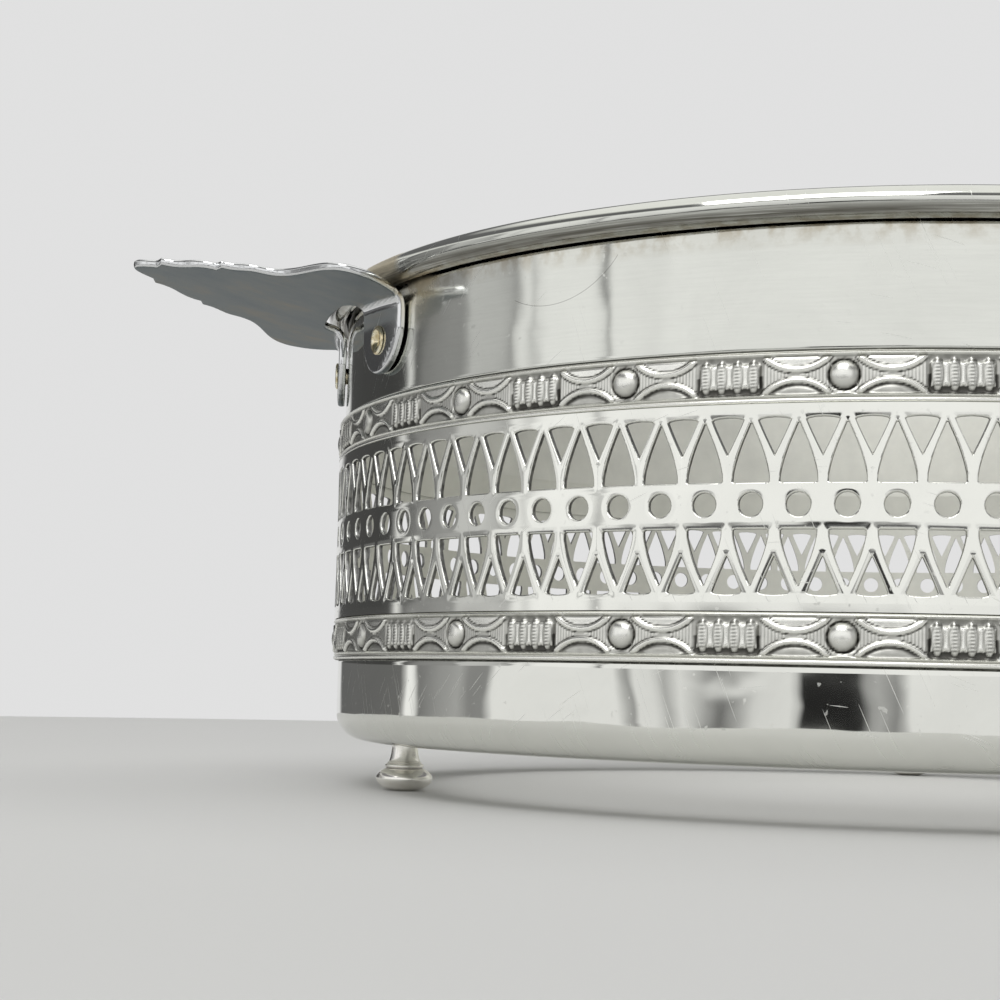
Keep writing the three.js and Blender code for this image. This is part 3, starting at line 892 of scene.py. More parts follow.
half_reed = REED_PITCH / 2
half_columns = [
    0.0, 0.45, 0.9, 1.3, 1.62, 1.88, 2.03, 2.1, SEAT_RADIUS,
    *(half_reed * i for i in range(10, 23)),
    *spread(WAIST - 0.75, WAIST + 1.0, 0.5),
    *(half_reed * i for i in range(32, 48)),
    UNIT_LENGTH / 2,
]
for bar in (0.5, 1.5):
    bar_middle = UNIT_LENGTH / 2 - bar * BAR_PITCH
    for shift in (0.0, 0.14, 0.36, 0.6, 0.8, 1.0):
        half_columns += [bar_middle - shift, bar_middle + shift]
columns = sorted({*half_columns, *(-place for place in half_columns)})
rows = [
    0.0, 0.12, 0.4, 0.68, 0.8, 0.9, 1.07, 1.25,
    *spread(ORNAMENT_MIDDLE - ORNAMENT_HALF, ORNAMENT_MIDDLE + ORNAMENT_HALF + 0.01, SERRATION / 2),
    6.60, 6.97, 7.22, STRIP_HEIGHT,
]
print("grid:", len(columns), "columns by", len(rows), "rows a unit")

# %% Ornament: the two strips
def make_strip(name, bottom, inner_low, inner_high):
    """One ornament strip, with the sheet's inner radius at its lower and upper edge."""
    bm = bmesh.new()
    painted_shade = bm.verts.layers.float.new("painted_shade")
    last_column, last_row = len(columns) - 1, len(rows) - 1
    bmesh.ops.create_grid(bm, x_segments=last_column, y_segments=last_row, size=0.5)
    for vert in bm.verts:
        u = columns[round((vert.co.x + 0.5) * last_column)]
        v = rows[round((vert.co.y + 0.5) * last_row)]
        relief, vert[painted_shade] = soft_ornament(u, v)
        radius = STRIP_GROUND + relief
        angle = STRIP_TURN + u / UNIT_RADIUS
        vert.co = (radius * math.cos(angle), radius * math.sin(angle), bottom + v)
    for height, inner in ((bottom, inner_low), (bottom + STRIP_HEIGHT, inner_high)):
        edges = [
            edge for edge in bm.edges
            if all(abs(vert.co.z - height) < MERGE_WITHIN for vert in edge.verts)
        ]
        lip = bmesh.ops.extrude_edge_only(bm, edges=edges)
        fold = [item for item in lip["geom"] if isinstance(item, bmesh.types.BMVert)]
        for vert in fold:
            scale = inner / math.hypot(vert.co.x, vert.co.y)
            vert.co = (vert.co.x * scale, vert.co.y * scale, height)
    repeat_round(bm, STRIP_UNITS)
    bmesh.ops.bridge_loops(bm, edges=[edge for edge in bm.edges if edge.is_boundary])
    bmesh.ops.recalc_face_normals(bm, faces=bm.faces)
    finish_piece(name, bm, strip_silver, "chrome_body", sharp=70, lining=satin_lining)


make_strip("strip_lower", STRIP_LOW, 101.8, 102.4)
make_strip("strip_upper", STRIP_HIGH - STRIP_HEIGHT, 102.4, 101.8)
print("strips from", STRIP_LOW, "and up to", STRIP_HIGH, "mm")

# %% [markdown]
# ## The pierced gallery
#
# Between the strips the sheet is pierced ninety-six times round with the same group: a
# circle between a tall arch and a hanging arch, and half a small triangle at each side.
# Boolean cuts would work but leave ragged faces, so one unit is drawn flat as edges, filled
# with triangles round its holes, cut into narrow upright panes so that it can bend, extruded
# to the sheet's thickness, wrapped round the axis and repeated. A bevel rounds the punched
# edges.

# %% Gallery: its sizes
GALLERY_LOW = STRIP_LOW + STRIP_HEIGHT
GALLERY_HIGH = STRIP_HIGH - STRIP_HEIGHT
GALLERY_RADIUS = 103.5
GALLERY_UNITS = 96
UNIT_HALF = math.pi * GALLERY_RADIUS / GALLERY_UNITS
UPPER_ARCH = (48.34, 8.46, 2.70)  # height of its base, length up from there, half width
LOWER_ARCH = (41.67, -7.80, 2.58)
UPPER_TRIANGLE = (57.25, -5.0, 2.3)
LOWER_TRIANGLE = (32.8, 5.1, 2.15)
UPPER_DIP = 0.28  # how far a triangle's base bows out
LOWER_DIP = 0.25
CIRCLE_ROW = 45.2
CIRCLE_RADIUS = 1.725
ARCH_SWELL = 1.55  # how full an arch's sides are; 1 would be straight
ARCH_STEPS = 8
print("gallery units:", GALLERY_UNITS, "of", round(2 * UNIT_HALF, 2), "mm")

# %% Gallery: the openings of one unit
def arch_side(base, length, half_width):
    """Points up one side of an arch, from its rounded base corner to its blunt tip."""
    sign = math.copysign(1, length)
    points = [(half_width - 0.3, base - sign * 0.02), (half_width - 0.07, base + sign * 0.1)]
    for i in range(1, ARCH_STEPS):
        t = i / ARCH_STEPS
        points.append((half_width * (1 - t ** ARCH_SWELL), base + length * t))
    return points + [(0.12, base + length - sign * 0.1)]


def closed_loop(bm, points):
    """A ring of edges through points of the flat sheet."""
    corners = [bm.verts.new((u, v, 0)) for u, v in points]
    return [bm.edges.new(pair) for pair in zip(corners, corners[1:] + corners[:1])]


def mirrored_loop(bm, side):
    """A loop that is alike on both sides of the unit's middle."""
    return closed_loop(bm, side + [(-u, v) for u, v in reversed(side)])


def half_triangle(base, length, half_width, dip):
    """The half of a small triangle that lies in this unit, from its base to its tip."""
    dip = math.copysign(dip, length)
    corners = (
        (0, -dip), (0.55 * half_width, -0.7 * dip), (half_width - 0.22, -0.12 * dip),
        (half_width - 0.02, 0.03 * length), (0.79 * half_width, 0.25 * length),
        (0.54 * half_width, 0.5 * length), (0.28 * half_width, 0.75 * length),
        (0.08, 0.975 * length), (0, length),
    )
    return [(UNIT_HALF - inwards, base + up) for inwards, up in corners]


unit = bmesh.new()
right_side = [
    (UNIT_HALF, GALLERY_LOW),
    *half_triangle(*LOWER_TRIANGLE, LOWER_DIP),
    *reversed(half_triangle(*UPPER_TRIANGLE, UPPER_DIP)),
    (UNIT_HALF, GALLERY_HIGH),
]
edges = mirrored_loop(unit, right_side)
for arch in (UPPER_ARCH, LOWER_ARCH):
    edges += mirrored_loop(unit, arch_side(*arch))
hole = bmesh.ops.create_circle(unit, cap_ends=False, segments=20, radius=CIRCLE_RADIUS)
bmesh.ops.translate(unit, vec=(0, CIRCLE_ROW, 0), verts=hole["verts"])
edges += list({edge for vert in hole["verts"] for edge in vert.link_edges})
bmesh.ops.triangle_fill(unit, use_beauty=True, use_dissolve=False, edges=edges, normal=(0, 0, 1))
print("flat unit:", len(unit.faces), "triangles")

# %% Gallery: cut, wrapped and repeated
def cut_across(bm, axis, places):
    """Cuts every face along planes across one axis."""
    for place in places:
        point = [0, 0, 0]
        point[axis] = place
        normal = [0, 0, 0]
        normal[axis] = 1
        bmesh.ops.bisect_plane(
            bm, geom=everything(bm), dist=MERGE_WITHIN, plane_co=point, plane_no=normal,
        )


PANE_PLACES = (-0.66, -0.33, 0.0, 0.33, 0.66)  # as shares of half a unit
PANE_HEIGHTS = (31.4, 38.9, 42.6, 47.7, 58.5)
cut_across(unit, 0, [UNIT_HALF * share for share in PANE_PLACES])
cut_across(unit, 1, PANE_HEIGHTS)
grown = bmesh.ops.extrude_face_region(unit, geom=unit.faces[:], use_keep_orig=True)
for item in grown["geom"]:
    if isinstance(item, bmesh.types.BMVert):
        item.co.z = -SHEET
seam_walls = [
    face for face in unit.faces
    if all(abs(abs(vert.co.x) - UNIT_HALF) < MERGE_WITHIN for vert in face.verts)
]
bmesh.ops.delete(unit, geom=seam_walls, context="FACES")
for vert in unit.verts:
    angle = (vert.co.x + UNIT_HALF) / GALLERY_RADIUS
    radius = GALLERY_RADIUS + vert.co.z
    vert.co = (radius * math.cos(angle), radius * math.sin(angle), vert.co.y)
repeat_round(unit, GALLERY_UNITS)
bmesh.ops.recalc_face_normals(unit, faces=unit.faces)
print("gallery wall:", len(unit.faces), "faces")

# %% Gallery: the punched edges
PUNCH_ROUNDING = 0.22
PUNCH_CORNER = math.radians(60)  # edges that turn by more than this are punched ones
EDGE_MARGIN = 0.1


def between_strips(height):
    """Whether a height lies on the gallery and not on its upper or lower end."""
    return GALLERY_LOW + EDGE_MARGIN < height < GALLERY_HIGH - EDGE_MARGIN


def on_front(vert):
    """Whether a corner lies on the outer skin."""
    return math.hypot(*vert.co.xy) > GALLERY_RADIUS - 0.05 and between_strips(vert.co.z)


punched = [
    edge for edge in unit.edges
    if all(map(on_front, edge.verts)) and edge.calc_face_angle(0) > PUNCH_CORNER
]
bmesh.ops.bevel(
    unit, geom=punched, offset=PUNCH_ROUNDING, segments=1, profile=0.5, material=-1,
    affect="EDGES", clamp_overlap=False,
)
print("punched edges rounded:", len(punched))
gallery = finish_piece(
    "gallery", unit, gallery_chrome, "chrome_body", "body_shell", lining=satin_lining, sharp=50,
)

# %% [markdown]
# The wall between the openings has to mirror like a true cylinder. The many small faces
# would each tilt the mirror a little, so the corners on the wall's two skins are given
# normals that point straight away from the axis, and only the rims keep their own.

# %% Gallery: true normals
ON_SKIN = 0.97  # how straight a face looks away from the axis to belong to a skin
ON_RIM = 0.3  # below this it is a punched edge
wall = gallery.data


def away(place):
    """The direction straight away from the axis."""
    return Vector((place.x, place.y, 0)).normalized()


def facing(face):
    """1 where a face looks straight away from the axis, -1 where it looks at it."""
    return face.normal.dot(away(face.center))


skins = [face for face in wall.polygons if abs(facing(face)) > ON_SKIN]
skin_corners = {corner for face in skins for corner in face.vertices}
normals = []
for face in wall.polygons:
    side = facing(face)
    for corner in face.vertices:
        normal = Vector((0, 0, 0))
        if abs(side) > ON_RIM and corner in skin_corners:
            normal = away(wall.vertices[corner].co) * math.copysign(1, side)
        normals.append(normal)
wall.normals_split_custom_set(normals)
# the walls of the openings get the painted shade of the third material
wall.materials.append(punched_edge_painted_shade)
for face in wall.polygons:
    if abs(facing(face)) < ON_RIM and between_strips(face.center.z / MM):
        face.material_index = 2
print("corners on the skins:", len(skin_corners))

# %% [markdown]
# The punch drew the sheet a little way into every opening, so the mirror bends towards each
# rim, and that is what makes the light run in liquid lines round the openings. It is less
# than a tenth of a millimetre deep, so it is a bump. Its height needs the distance to the
# nearest opening. The openings repeat, so that distance is a formula of the place in one
# unit: how far round it is from the unit's middle, from its seam and from the next unit's
# middle, and how high. The next unit's arches count too, or the struts would get a crease.

# %% Gallery: the place in a unit
x_place, y_place, height = axes_of(gallery_place)
bearing = combine("ARCTAN2", y_place, x_place)
phase = combine("FRACT", scaled(bearing, GALLERY_UNITS / FULL_TURN, GALLERY_UNITS))
from_middle = combine("ABSOLUTE", scaled(phase, 2 * UNIT_HALF, -UNIT_HALF))
from_seam = combine("SUBTRACT", UNIT_HALF, from_middle)
from_next = combine("ADD", UNIT_HALF, from_seam)
level = product(height, 1 / MM)
print("a unit reaches", round(UNIT_HALF, 3), "mm to each side")

# %% Gallery: the drawn rims
ROLL_REACH = 1.4  # how far from an opening the sheet still bends
ROLL_DEPTH = 0.085
CIRCLE_ROLL = 1.35  # less than the circle's radius, so that its rim bends the mirror less
CORNER_BLEND = 0.8  # how softly the sides of an opening meet
OPENING_BLEND = 0.5  # how softly one opening's bend meets the next one's


def gap_to_opening(across, base, length, half_width, fullness):
    """How far outside an arch or a triangle a point lies, in millimetres."""
    rise = scaled(level, 1 / length, -base / length)
    taper = combine("POWER", combine("MAXIMUM", rise, 0.0), fullness)
    beside = combine("ADD", across, scaled(taper, half_width, -half_width))
    below = product(rise, -abs(length))
    past_tip = scaled(rise, abs(length), -abs(length))
    sides = combine("SMOOTH_MAX", beside, below, CORNER_BLEND)
    return combine("MAXIMUM", sides, past_tip)


up = combine("SUBTRACT", level, CIRCLE_ROW)
square = scaled(up, up, product(from_middle, from_middle))
gap = combine("SUBTRACT", combine("SQRT", square), CIRCLE_ROLL)
for across, opening, fullness in (
    (from_middle, UPPER_ARCH, ARCH_SWELL),
    (from_middle, LOWER_ARCH, ARCH_SWELL),
    (from_next, UPPER_ARCH, ARCH_SWELL),
    (from_next, LOWER_ARCH, ARCH_SWELL),
    (from_seam, UPPER_TRIANGLE, 1.0),
    (from_seam, LOWER_TRIANGLE, 1.0),
):
    one_gap = gap_to_opening(across, *opening, fullness)
    gap = combine("SMOOTH_MIN", gap, one_gap, OPENING_BLEND)
inwards = between(gap, ROLL_REACH, 0.0)
sheet_level = combine("SUBTRACT", 1.0, product(inwards, inwards))
drawn = raised(sheet_level, 1.0, ROLL_DEPTH * MM, worn_so_far(gallery_shader, "Normal"))
coat(gallery_shader, Normal=drawn)
print("drawn rims:", ROLL_DEPTH, "mm deep")

# %% [markdown]
# ## The handles
#
# A handle is one shaped plate. Its root runs into two ears that bend down against the wall,
# and between them it is open. A sheet-metal worker would cut a flat blank and fold it, and
# that is done here too: the outline is drawn as the blank lies before the fold, with the
# ears pointing at the axis, filled, cut into small panes, and every point is then moved to
# where the fold carries it. The outline follows the same sizes as the CAD handle.

# %% Handle: its sizes
TILT = math.radians(9.8)
THICKNESS = 1.4
RIM_NOSE = 0.5  # how far in the rounding of the rim reaches
PLATE_UNDERSIDE = 83.4  # at the rim's curl
EAR_INNER = WALL_RADIUS + 0.3
EAR_MIDDLE = EAR_INNER + THICKNESS / 2
FOLD_INSIDE = 1.5
FOLD_RADIUS = FOLD_INSIDE + THICKNESS / 2  # of the sheet's middle
FOLD_START = EAR_INNER + THICKNESS + FOLD_INSIDE
FOLD_LENGTH = FOLD_RADIUS * math.pi / 2
FOLD_HEIGHT = PLATE_UNDERSIDE - FOLD_INSIDE
EAR_BEARING = 11.25
EAR_ANGLE = math.radians(EAR_BEARING)
EAR_HALF = 8.0
EAR_BOTTOM = 70.8
EAR_ROUND_HEIGHT = EAR_BOTTOM + EAR_HALF
EAR_SIDE_TOP = 80.5
RIVET_HEIGHT = 76.5
RIVET_HOLE = 1.8
CUTOUT_REACH = 3.1  # how far past the rim's curl the opening between the ears goes
CUTOUT_ROUND = 3.5  # how far beside the ear the opening begins to bend
print("the plate rises by", round(math.degrees(TILT), 1), "degrees")

# %% Handle: from the plan to the blank
def at_reach(reach, y):
    """A point of the plan by its distance from the rim's curl along the plate."""
    return (CURL_RADIUS + reach * math.cos(TILT), y)


def bezier(*controls, steps):
    """Points of a curve through its first and last control point."""
    points = []
    for i in range(steps + 1):
        level = [Vector(point) for point in controls]
        while len(level) > 1:
            level = [a.lerp(b, i / steps) for a, b in zip(level, level[1:])]
        points.append(tuple(level[0]))
    return points


def eased(start, end, steps=22):
    """A smooth step that leaves and arrives along x."""
    middle = (start[0] + end[0]) / 2
    return bezier(start, (middle, start[1]), (middle, end[1]), end, steps=steps)


def on_blank(point):
    """Where a point of the folded plan lies on the flat blank."""
    radius = math.hypot(*point)
    if radius >= FOLD_START:
        return point
    turn = math.asin(clamped((FOLD_START - radius) / FOLD_RADIUS))
    scale = (FOLD_START - FOLD_RADIUS * turn) / radius
    return (point[0] * scale, point[1] * scale)


def on_ear(aside, height):
    """The blank's point for a place on the ear, from its middle line and by its height."""
    angle = EAR_ANGLE + math.asin(aside / EAR_MIDDLE)
    rise = (EAR_MIDDLE * math.cos(angle) - CURL_RADIUS) * math.tan(TILT)
    run = FOLD_LENGTH + FOLD_HEIGHT + rise - height
    radius = FOLD_START - run
    return (radius * math.cos(angle), radius * math.sin(angle))


def plan_on_ear(aside, radius):
    """The plan's point beside an ear's middle line at a radius."""
    return (
        radius * math.cos(EAR_ANGLE) - aside * math.sin(EAR_ANGLE),
        radius * math.sin(EAR_ANGLE) + aside * math.cos(EAR_ANGLE),
    )


print("the fold takes", round(FOLD_LENGTH, 2), "mm of sheet")

# %% Handle: the outline of the blank
cutout_radius = at_reach(CUTOUT_REACH, 0)[0]
inner_side = plan_on_ear(-EAR_HALF, EAR_INNER + THICKNESS)
outer_side = plan_on_ear(EAR_HALF, EAR_INNER + THICKNESS)
cutout_end = inner_side[1] - CUTOUT_ROUND
shoulder, neck, lobe, leaf = (
    at_reach(6, 35.5), at_reach(18.4, 19.8), at_reach(25.1, 16.6), at_reach(34.6, 8),
)
lobe_base = (lobe[0] + 0.6, lobe[1] - 2.6)
leaf_base = (leaf[0] + 0.6, leaf[1] - 3.2)
tip = at_reach(38.8, 0)


def on_cutout(y):
    """A point of the opening's round side."""
    return (math.sqrt(cutout_radius ** 2 - y ** 2), y)


shoulder_pull = ((outer_side[0] + shoulder[0]) / 2, shoulder[1])
half_outline = [
    *(on_cutout(cutout_end * share) for share in (0.25, 0.5, 0.75)),
    *map(on_blank, bezier(on_cutout(cutout_end), on_cutout(inner_side[1]), inner_side, steps=8)),
    on_ear(-EAR_HALF, EAR_SIDE_TOP),
    *(on_ear(*point) for point in arc(0, EAR_ROUND_HEIGHT, EAR_HALF, 180, 360, 20)),
    on_ear(EAR_HALF, EAR_SIDE_TOP),
    *map(on_blank, bezier(outer_side, shoulder_pull, shoulder, steps=22)),
    *eased(shoulder, neck)[1:],
    *eased(neck, lobe)[1:],
    *eased(lobe_base, leaf),
    *bezier(leaf_base, (tip[0], leaf_base[1] / 2), tip, steps=14),
]
blank_outline = half_outline + [(x, -y) for x, y in reversed(half_outline[:-1])] + [on_cutout(0)]
print("blank outline:", len(blank_outline), "points")

# %% [markdown]
# The plate's top can't be seen in the photograph, so it gets a quiet relief of the usual
# kind for such handles: a raised border along the outline and flutes that fan out from the
# root to the tip. The underside is flat with a little unevenness, as the photograph shows.
# Insets lay fine rings along the outline, the plate is extruded into two skins, and each
# point's distance from the outline then rounds the rim and raises the relief.

# %% Handle: the fold
starts = numpy.array(blank_outline)
sides = numpy.roll(starts, -1, axis=0) - starts


def from_outline(point):
    """Distance from a point of the blank to the nearest side of its outline."""
    offsets = numpy.array(point) - starts
    shares = numpy.clip((offsets * sides).sum(axis=1) / (sides ** 2).sum(axis=1), 0, 1)
    return float(numpy.linalg.norm(offsets - sides * shares[:, None], axis=1).min())


def folded(point):
    """Where the fold carries a point of the blank, on the sheet's middle."""
    radius = math.hypot(*point)
    angle = math.atan2(point[1], point[0])
    run = FOLD_START - radius
    if run <= 0:
        height = FOLD_HEIGHT + FOLD_RADIUS
    elif run < FOLD_LENGTH:
        turn = run / FOLD_RADIUS
        radius = FOLD_START - FOLD_RADIUS * math.sin(turn)
        height = FOLD_HEIGHT + FOLD_RADIUS * math.cos(turn)
    else:
        radius = EAR_MIDDLE
        height = FOLD_HEIGHT - (run - FOLD_LENGTH)
    x = radius * math.cos(angle)
    return (x, radius * math.sin(angle), height + (x - CURL_RADIUS) * math.tan(TILT))


def fold_side(point):
    """The direction from the sheet's middle to its upper side at a point of the blank."""
    run = FOLD_START - math.hypot(*point)
    angle = math.atan2(point[1], point[0])
    turn = clamped(run / FOLD_RADIUS, math.pi / 2)
    return Vector((
        -math.sin(turn) * math.cos(angle), -math.sin(turn) * math.sin(angle), math.cos(turn),
    ))


print("the blank has", len(sides), "sides")

# %% Handle: the relief
RIM_POWER = 2.4  # how full the rounding of the rim is; 2 would be a circle
BORDER_PLACE = 1.9
BORDER_HALF = 1.1
BORDER_RISE = 0.28
FLUTES_FROM = 3.0
FLUTES_FADE = 2.5
FLUTE_RISE = 0.35
FLUTES_ROUND = 22.0
FAN_CENTRE = 92.0


def plate_relief(point, border):
    """Height of the upper side's relief at a point of the blank."""
    x, y = point
    root = clamped((math.hypot(x, y) - FOLD_START - 0.5) / 4.0)
    edge = clamped(1.0 - ((border - BORDER_PLACE) / BORDER_HALF) ** 2)
    fade = clamped((border - FLUTES_FROM) / FLUTES_FADE)
    flutes = 0.5 + 0.5 * math.cos(math.atan2(y, x - FAN_CENTRE) * FLUTES_ROUND)
    return root * (BORDER_RISE * edge + FLUTE_RISE * fade * flutes)


def lifted(point, border, on_top):
    """How far a point moves from the sheet's middle to its upper or lower side."""
    nose = clamped(1.0 - border / RIM_NOSE)
    lift = THICKNESS / 2 * (1.0 - nose ** RIM_POWER) ** (1 / RIM_POWER)
    return lift + plate_relief(point, border) if on_top else -lift


print("flutes stand", FLUTE_RISE, "mm high")

# %% Handle: both plates
RIM_INSETS = (0.02, 0.06, 0.12, 0.30)
PANES_MERGE_WITHIN = 0.02
FOLD_PANES = [94 + 0.6 * i for i in range(24)]
PLATE_PANES = [109 + 0.9 * i for i in range(38)]
SIDE_PANES = [0.9 * i for i in range(-39, 40)]


def make_handle(side):
    """A handle for the +X side, turned by half a circle for the other one."""
    bm = bmesh.new()
    edges = closed_loop(bm, blank_outline)
    middle = on_ear(0, RIVET_HEIGHT)
    for across in (1, -1):
        ring = bmesh.ops.create_circle(bm, cap_ends=False, segments=20, radius=RIVET_HOLE)
        bmesh.ops.translate(bm, vec=(middle[0], across * middle[1], 0), verts=ring["verts"])
        edges += list({edge for vert in ring["verts"] for edge in vert.link_edges})
    bmesh.ops.triangle_fill(bm, use_beauty=True, use_dissolve=False, edges=edges, normal=(0, 0, 1))
    core = bm.faces[:]
    for step in RIM_INSETS:
        bmesh.ops.inset_region(bm, faces=core, thickness=step, use_boundary=True, use_even_offset=True)
    cut_across(bm, 0, FOLD_PANES + PLATE_PANES)
    cut_across(bm, 1, SIDE_PANES)
    bmesh.ops.remove_doubles(bm, verts=bm.verts, dist=PANES_MERGE_WITHIN)
    flat = bm.verts.layers.float_vector.new("flat")
    inset = bm.verts.layers.float.new("inset")
    for vert in bm.verts:
        vert[flat] = vert.co
        vert[inset] = from_outline(vert.co.xy)
    grown = bmesh.ops.extrude_face_region(bm, geom=bm.faces[:], use_keep_orig=True)
    upper = {item for item in grown["geom"] if isinstance(item, bmesh.types.BMVert)}
    for vert in bm.verts:
        point = vert[flat].xy
        lift = lifted(point, vert[inset], vert in upper)
        vert.co = Vector(folded(point)) + fold_side(point) * lift
    close_skin(bm)
    if side == "left":
        turn_all(bm, math.pi, "Z")
    finish_piece(f"plate_{side}", bm, handle_chrome, "chrome_handle", f"handle_{side}", sharp=60)


make_handle("left")
make_handle("right")

# %% [markdown]
# ## The rivets
#
# Four tubular brass rivets hold the handles. Such a rivet is a short tube that a punch
# spreads at its open end, so its head is a thin dished ring round a deep hole. That is a
# lathe shape, spun from one outline along its own axis and then laid over to point outwards.

# %% Rivets
RIVET_STEPS = 48
rivet_outline = [
    (0.0, 100.95), (1.6, 100.97), (2.1, 101.15), (2.34, 101.42), (2.34, 101.72), (1.5, 101.74),
    (1.5, 104.31), (2.24, 104.31), (2.42, 104.38), (2.48, 104.50), (2.42, 104.64), (2.24, 104.76),
    (2.02, 104.81), (1.84, 104.79), (1.58, 104.66), (1.34, 104.42), (1.12, 104.05), (0.96, 103.6),
    (0.86, 103.1), (0.85, 102.3), (0.0, 102.2),
]
rivet_bearings = {
    "left_front": 180 + EAR_BEARING, "left_back": 180 - EAR_BEARING,
    "right_front": -EAR_BEARING, "right_back": EAR_BEARING,
}
for place_name, degrees in rivet_bearings.items():
    bm = spun(rivet_outline, RIVET_STEPS, on_axis=True)
    turn_all(bm, math.pi / 2, "Y")
    bmesh.ops.translate(bm, vec=(0, 0, RIVET_HEIGHT), verts=bm.verts)
    turn_all(bm, math.radians(degrees), "Z")
    finish_piece(f"tube_rivet_{place_name}", bm, worn_brass, "brass_rivet", f"rivet_{place_name}")

# %% [markdown]
# ## The feet
#
# Each foot is a small turning: a flattened ball, a collar that was cut with two fine
# grooves, and a stem that narrows to the flange. It is spun like the rivets, and the
# outline carries the grooves, because they are wide enough to catch the light.

# %% Feet
FOOT_CIRCLE = 91.5
FOOT_STEPS = 64
foot_outline = [
    (0.0, 0.0), *arc(0, 2.154, 5.0, -66.4, 50.0, 14, rise=2.35),
    (3.22, 4.06), (3.36, 4.12), (3.46, 4.28), (3.44, 4.50), (3.28, 4.66), (3.06, 4.72),
    (3.00, 4.80), (3.04, 4.88), (2.96, 5.02), (2.78, 5.10), (2.72, 5.16), (2.76, 5.24),
    (2.66, 5.42), (2.52, 5.9), (2.40, 6.6), (2.30, 7.4), (2.26, 8.0), (2.34, 8.38), (1.4, 8.39),
    (1.4, 4.6), (0.0, 4.6),
]
foot_bearings = {"left": 180, "front_right": -60, "back_right": 60}
for place_name, degrees in foot_bearings.items():
    bm = spun(foot_outline, FOOT_STEPS, on_axis=True)
    angle = math.radians(degrees)
    stand = (FOOT_CIRCLE * math.cos(angle), FOOT_CIRCLE * math.sin(angle), 0)
    bmesh.ops.translate(bm, vec=stand, verts=bm.verts)
    name = f"turned_foot_{place_name}"
    finish_piece(name, bm, satin_plate, "satin_foot", f"foot_{place_name}", sharp=50)

# %% [markdown]
# ## Pieces that keep their CAD shape
#
# The wire inside the rim and the slotted screws are right as the CAD has them, so their
# nodes stay and only get a finish.

# %% Wire and screws
for node_name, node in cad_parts.items():
    if node_name == "rim_wire" or node_name.startswith("foot_screw"):
        for slot in node.material_slots:
            slot.link = "OBJECT"
            slot.material = drawn_steel
        print("finish only:", node_name)

# %% [markdown]
# ## The table, the room and the light
#
# The holder stands on a plain pale table. A disc under it is enough, because the room below
# the horizon has the same colour and carries the table on.

# %% Table
TABLE_RADIUS = 0.52
TABLE_COLOUR = (0.70, 0.70, 0.69)
bm = bmesh.new()
bmesh.ops.create_circle(bm, cap_ends=True, segments=128, radius=TABLE_RADIUS)
table_mesh = bpy.data.meshes.new("table")
bm.to_mesh(table_mesh)
bm.free()
table = bpy.data.objects.new("table", table_mesh)
scene.collection.objects.link(table)
table_finish = bpy.data.materials.new("pale_table")
table_finish.use_nodes = True
table_shader = table_finish.node_tree.nodes["Principled BSDF"]
plug(TABLE_COLOUR, table_shader.inputs["Base Color"])
plug(0.75, table_shader.inputs["Roughness"])
table_mesh.materials.append(table_finish)
print("table radius", TABLE_RADIUS, "m")

# %% [markdown]
# Chrome shows its surroundings and little else, so the world is the room: pale behind the
# holder and on the camera's side, with a few darker stretches of wall that draw the holder's
# roundness. Two colour ramps go round the horizon, one for low and one for higher on the
# walls. They are the same for every ray, so the mirror shows what the camera would see. Slow
# noise sways their edges, so that no reflection is ruler-straight.

# %% Room: the walls
LOW_SWAY = 0.010  # as a share of the whole round
HIGH_SWAY = 0.022

room = bpy.data.worlds.new("room")
scene.world = room
room.use_nodes = True
direction = put("ShaderNodeTexCoord", tree=room.node_tree).outputs["Generated"]
x_part, y_part, rise = axes_of(direction)
bearing = combine("ARCTAN2", y_part, x_part)
share_round = scaled(bearing, 1 / FULL_TURN, 0.5)
sway = combine("SUBTRACT", streaks(direction, (7, 7, 24), detail=1.0), 0.5)


def walls_round(swaying, *stretches):
    """A ramp round the horizon, from pairs of degrees to the left of the camera's heading and
    a grey."""
    heading = math.degrees(CAMERA_HEADING)
    stops = [((heading + left + 180) % 360 / 360, grey) for left, grey in stretches]
    return ramp(scaled(sway, swaying, share_round), *sorted(stops))


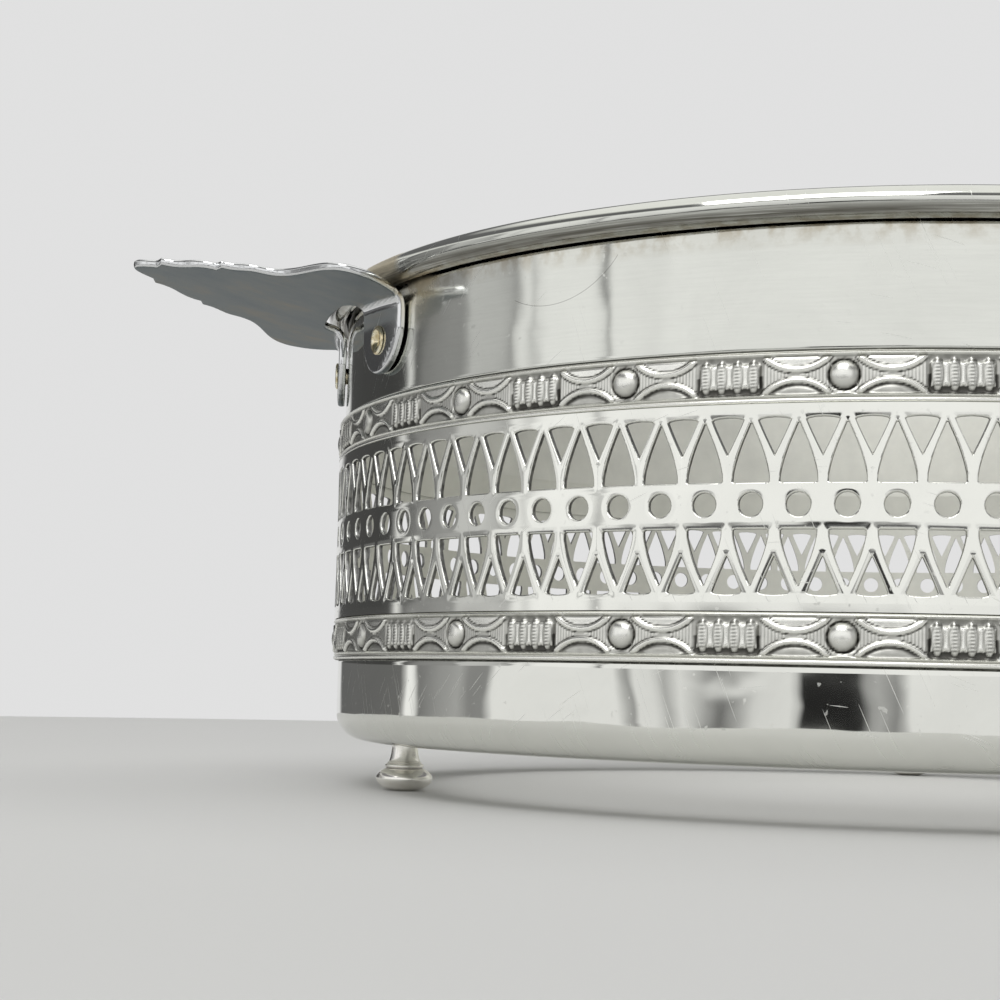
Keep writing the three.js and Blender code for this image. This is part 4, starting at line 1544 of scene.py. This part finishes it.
low_walls = walls_round(
    LOW_SWAY,
    (-60, 0.60), (-20, 0.75), (17.5, 0.75), (21, 0.13), (60, 0.16), (61.5, 1.0), (64.5, 1.0),
    (66, 0.20), (72, 0.33), (79, 0.42), (82, 0.26), (86, 0.28), (88.5, 0.88), (119, 0.88),
    (120.5, 0.08), (122, 0.84), (126, 0.80), (128, 0.45), (131, 0.82), (135, 0.38),
    (139, 0.16), (143, 0.45), (147, 0.78), (153, 0.84), (154.5, 0.02), (166, 0.02),
    (168, 0.5), (172, 0.26), (174.5, 0.86), (206, 0.86), (216, 0.25), (285, 0.16),
)
high_walls = walls_round(
    HIGH_SWAY,
    (-60, 0.60), (-20, 0.75), (17.5, 0.75), (21, 0.07), (50, 0.06), (56, 0.07), (57, 0.9),
    (58.5, 0.9), (60, 0.10), (65, 0.25), (74, 0.32), (77, 0.30), (78.5, 0.60), (86, 0.56),
    (90, 0.50), (91.3, 0.28), (92.5, 0.72), (95, 1.0), (97, 0.62), (99, 0.97),
    (112.5, 0.97), (113.8, 0.05), (114.8, 0.97), (126, 0.92), (129, 1.0), (133, 0.96),
    (150, 0.96), (196, 0.97), (208, 0.30), (232, 0.8), (262, 0.12), (288, 0.2),
)
walls = mix_colour(between(rise, 0.021, 0.029), low_walls, high_walls)
print("walls round the heading", round(math.degrees(CAMERA_HEADING), 1), "degrees")

# %% [markdown]
# A third ramp goes up to the ceiling. A dark skirting below the horizon gives every rounded
# edge its thin dark line, and under it the table's colour goes on. Each takes over from the
# walls between a first and a second rise, the height that a ray gains over its length.

# %% Room: ceiling, skirting and floor
overhead = ramp(
    rise, (0.34, (0.80, 0.81, 0.80)), (0.42, (0.95, 0.95, 0.93)), (0.50, (0.14, 0.14, 0.145)),
    (0.68, (0.16, 0.16, 0.165)), (0.78, (0.97, 0.97, 0.95)),
)
for start, end, shade in (
    (-0.045, -0.055, (0.10, 0.10, 0.105)),
    (-0.10, -0.115, TABLE_COLOUR),
    (0.36, 0.42, overhead),
):
    walls = mix_colour(between(rise, start, end), walls, shade)
background = room.node_tree.nodes["Background"]
plug(walls, background.inputs["Color"])
plug(1.0, background.inputs["Strength"])
print("room strength", background.inputs["Strength"].default_value)

# %% [markdown]
# A large lamp above on the left gives the shadows a direction. A sun lamp would be simpler,
# but a near, wide one gives the soft shadows of a room, which spread as they go.

# %% Lamp
LAMP_AIM = Vector((0, 0, 0.05))
lamp_data = bpy.data.lights.new("soft_lamp", "AREA")
lamp_data.shape = "RECTANGLE"
lamp_data.size = 1.1
lamp_data.size_y = 0.8
lamp_data.energy = 9.0
lamp = bpy.data.objects.new("soft_lamp", lamp_data)
lamp.location = (-0.75, -0.95, 1.25)
lamp.rotation_euler = (LAMP_AIM - lamp.location).to_track_quat("-Z", "Y").to_euler()
scene.collection.objects.link(lamp)
print("lamp energy:", lamp_data.energy, "W")
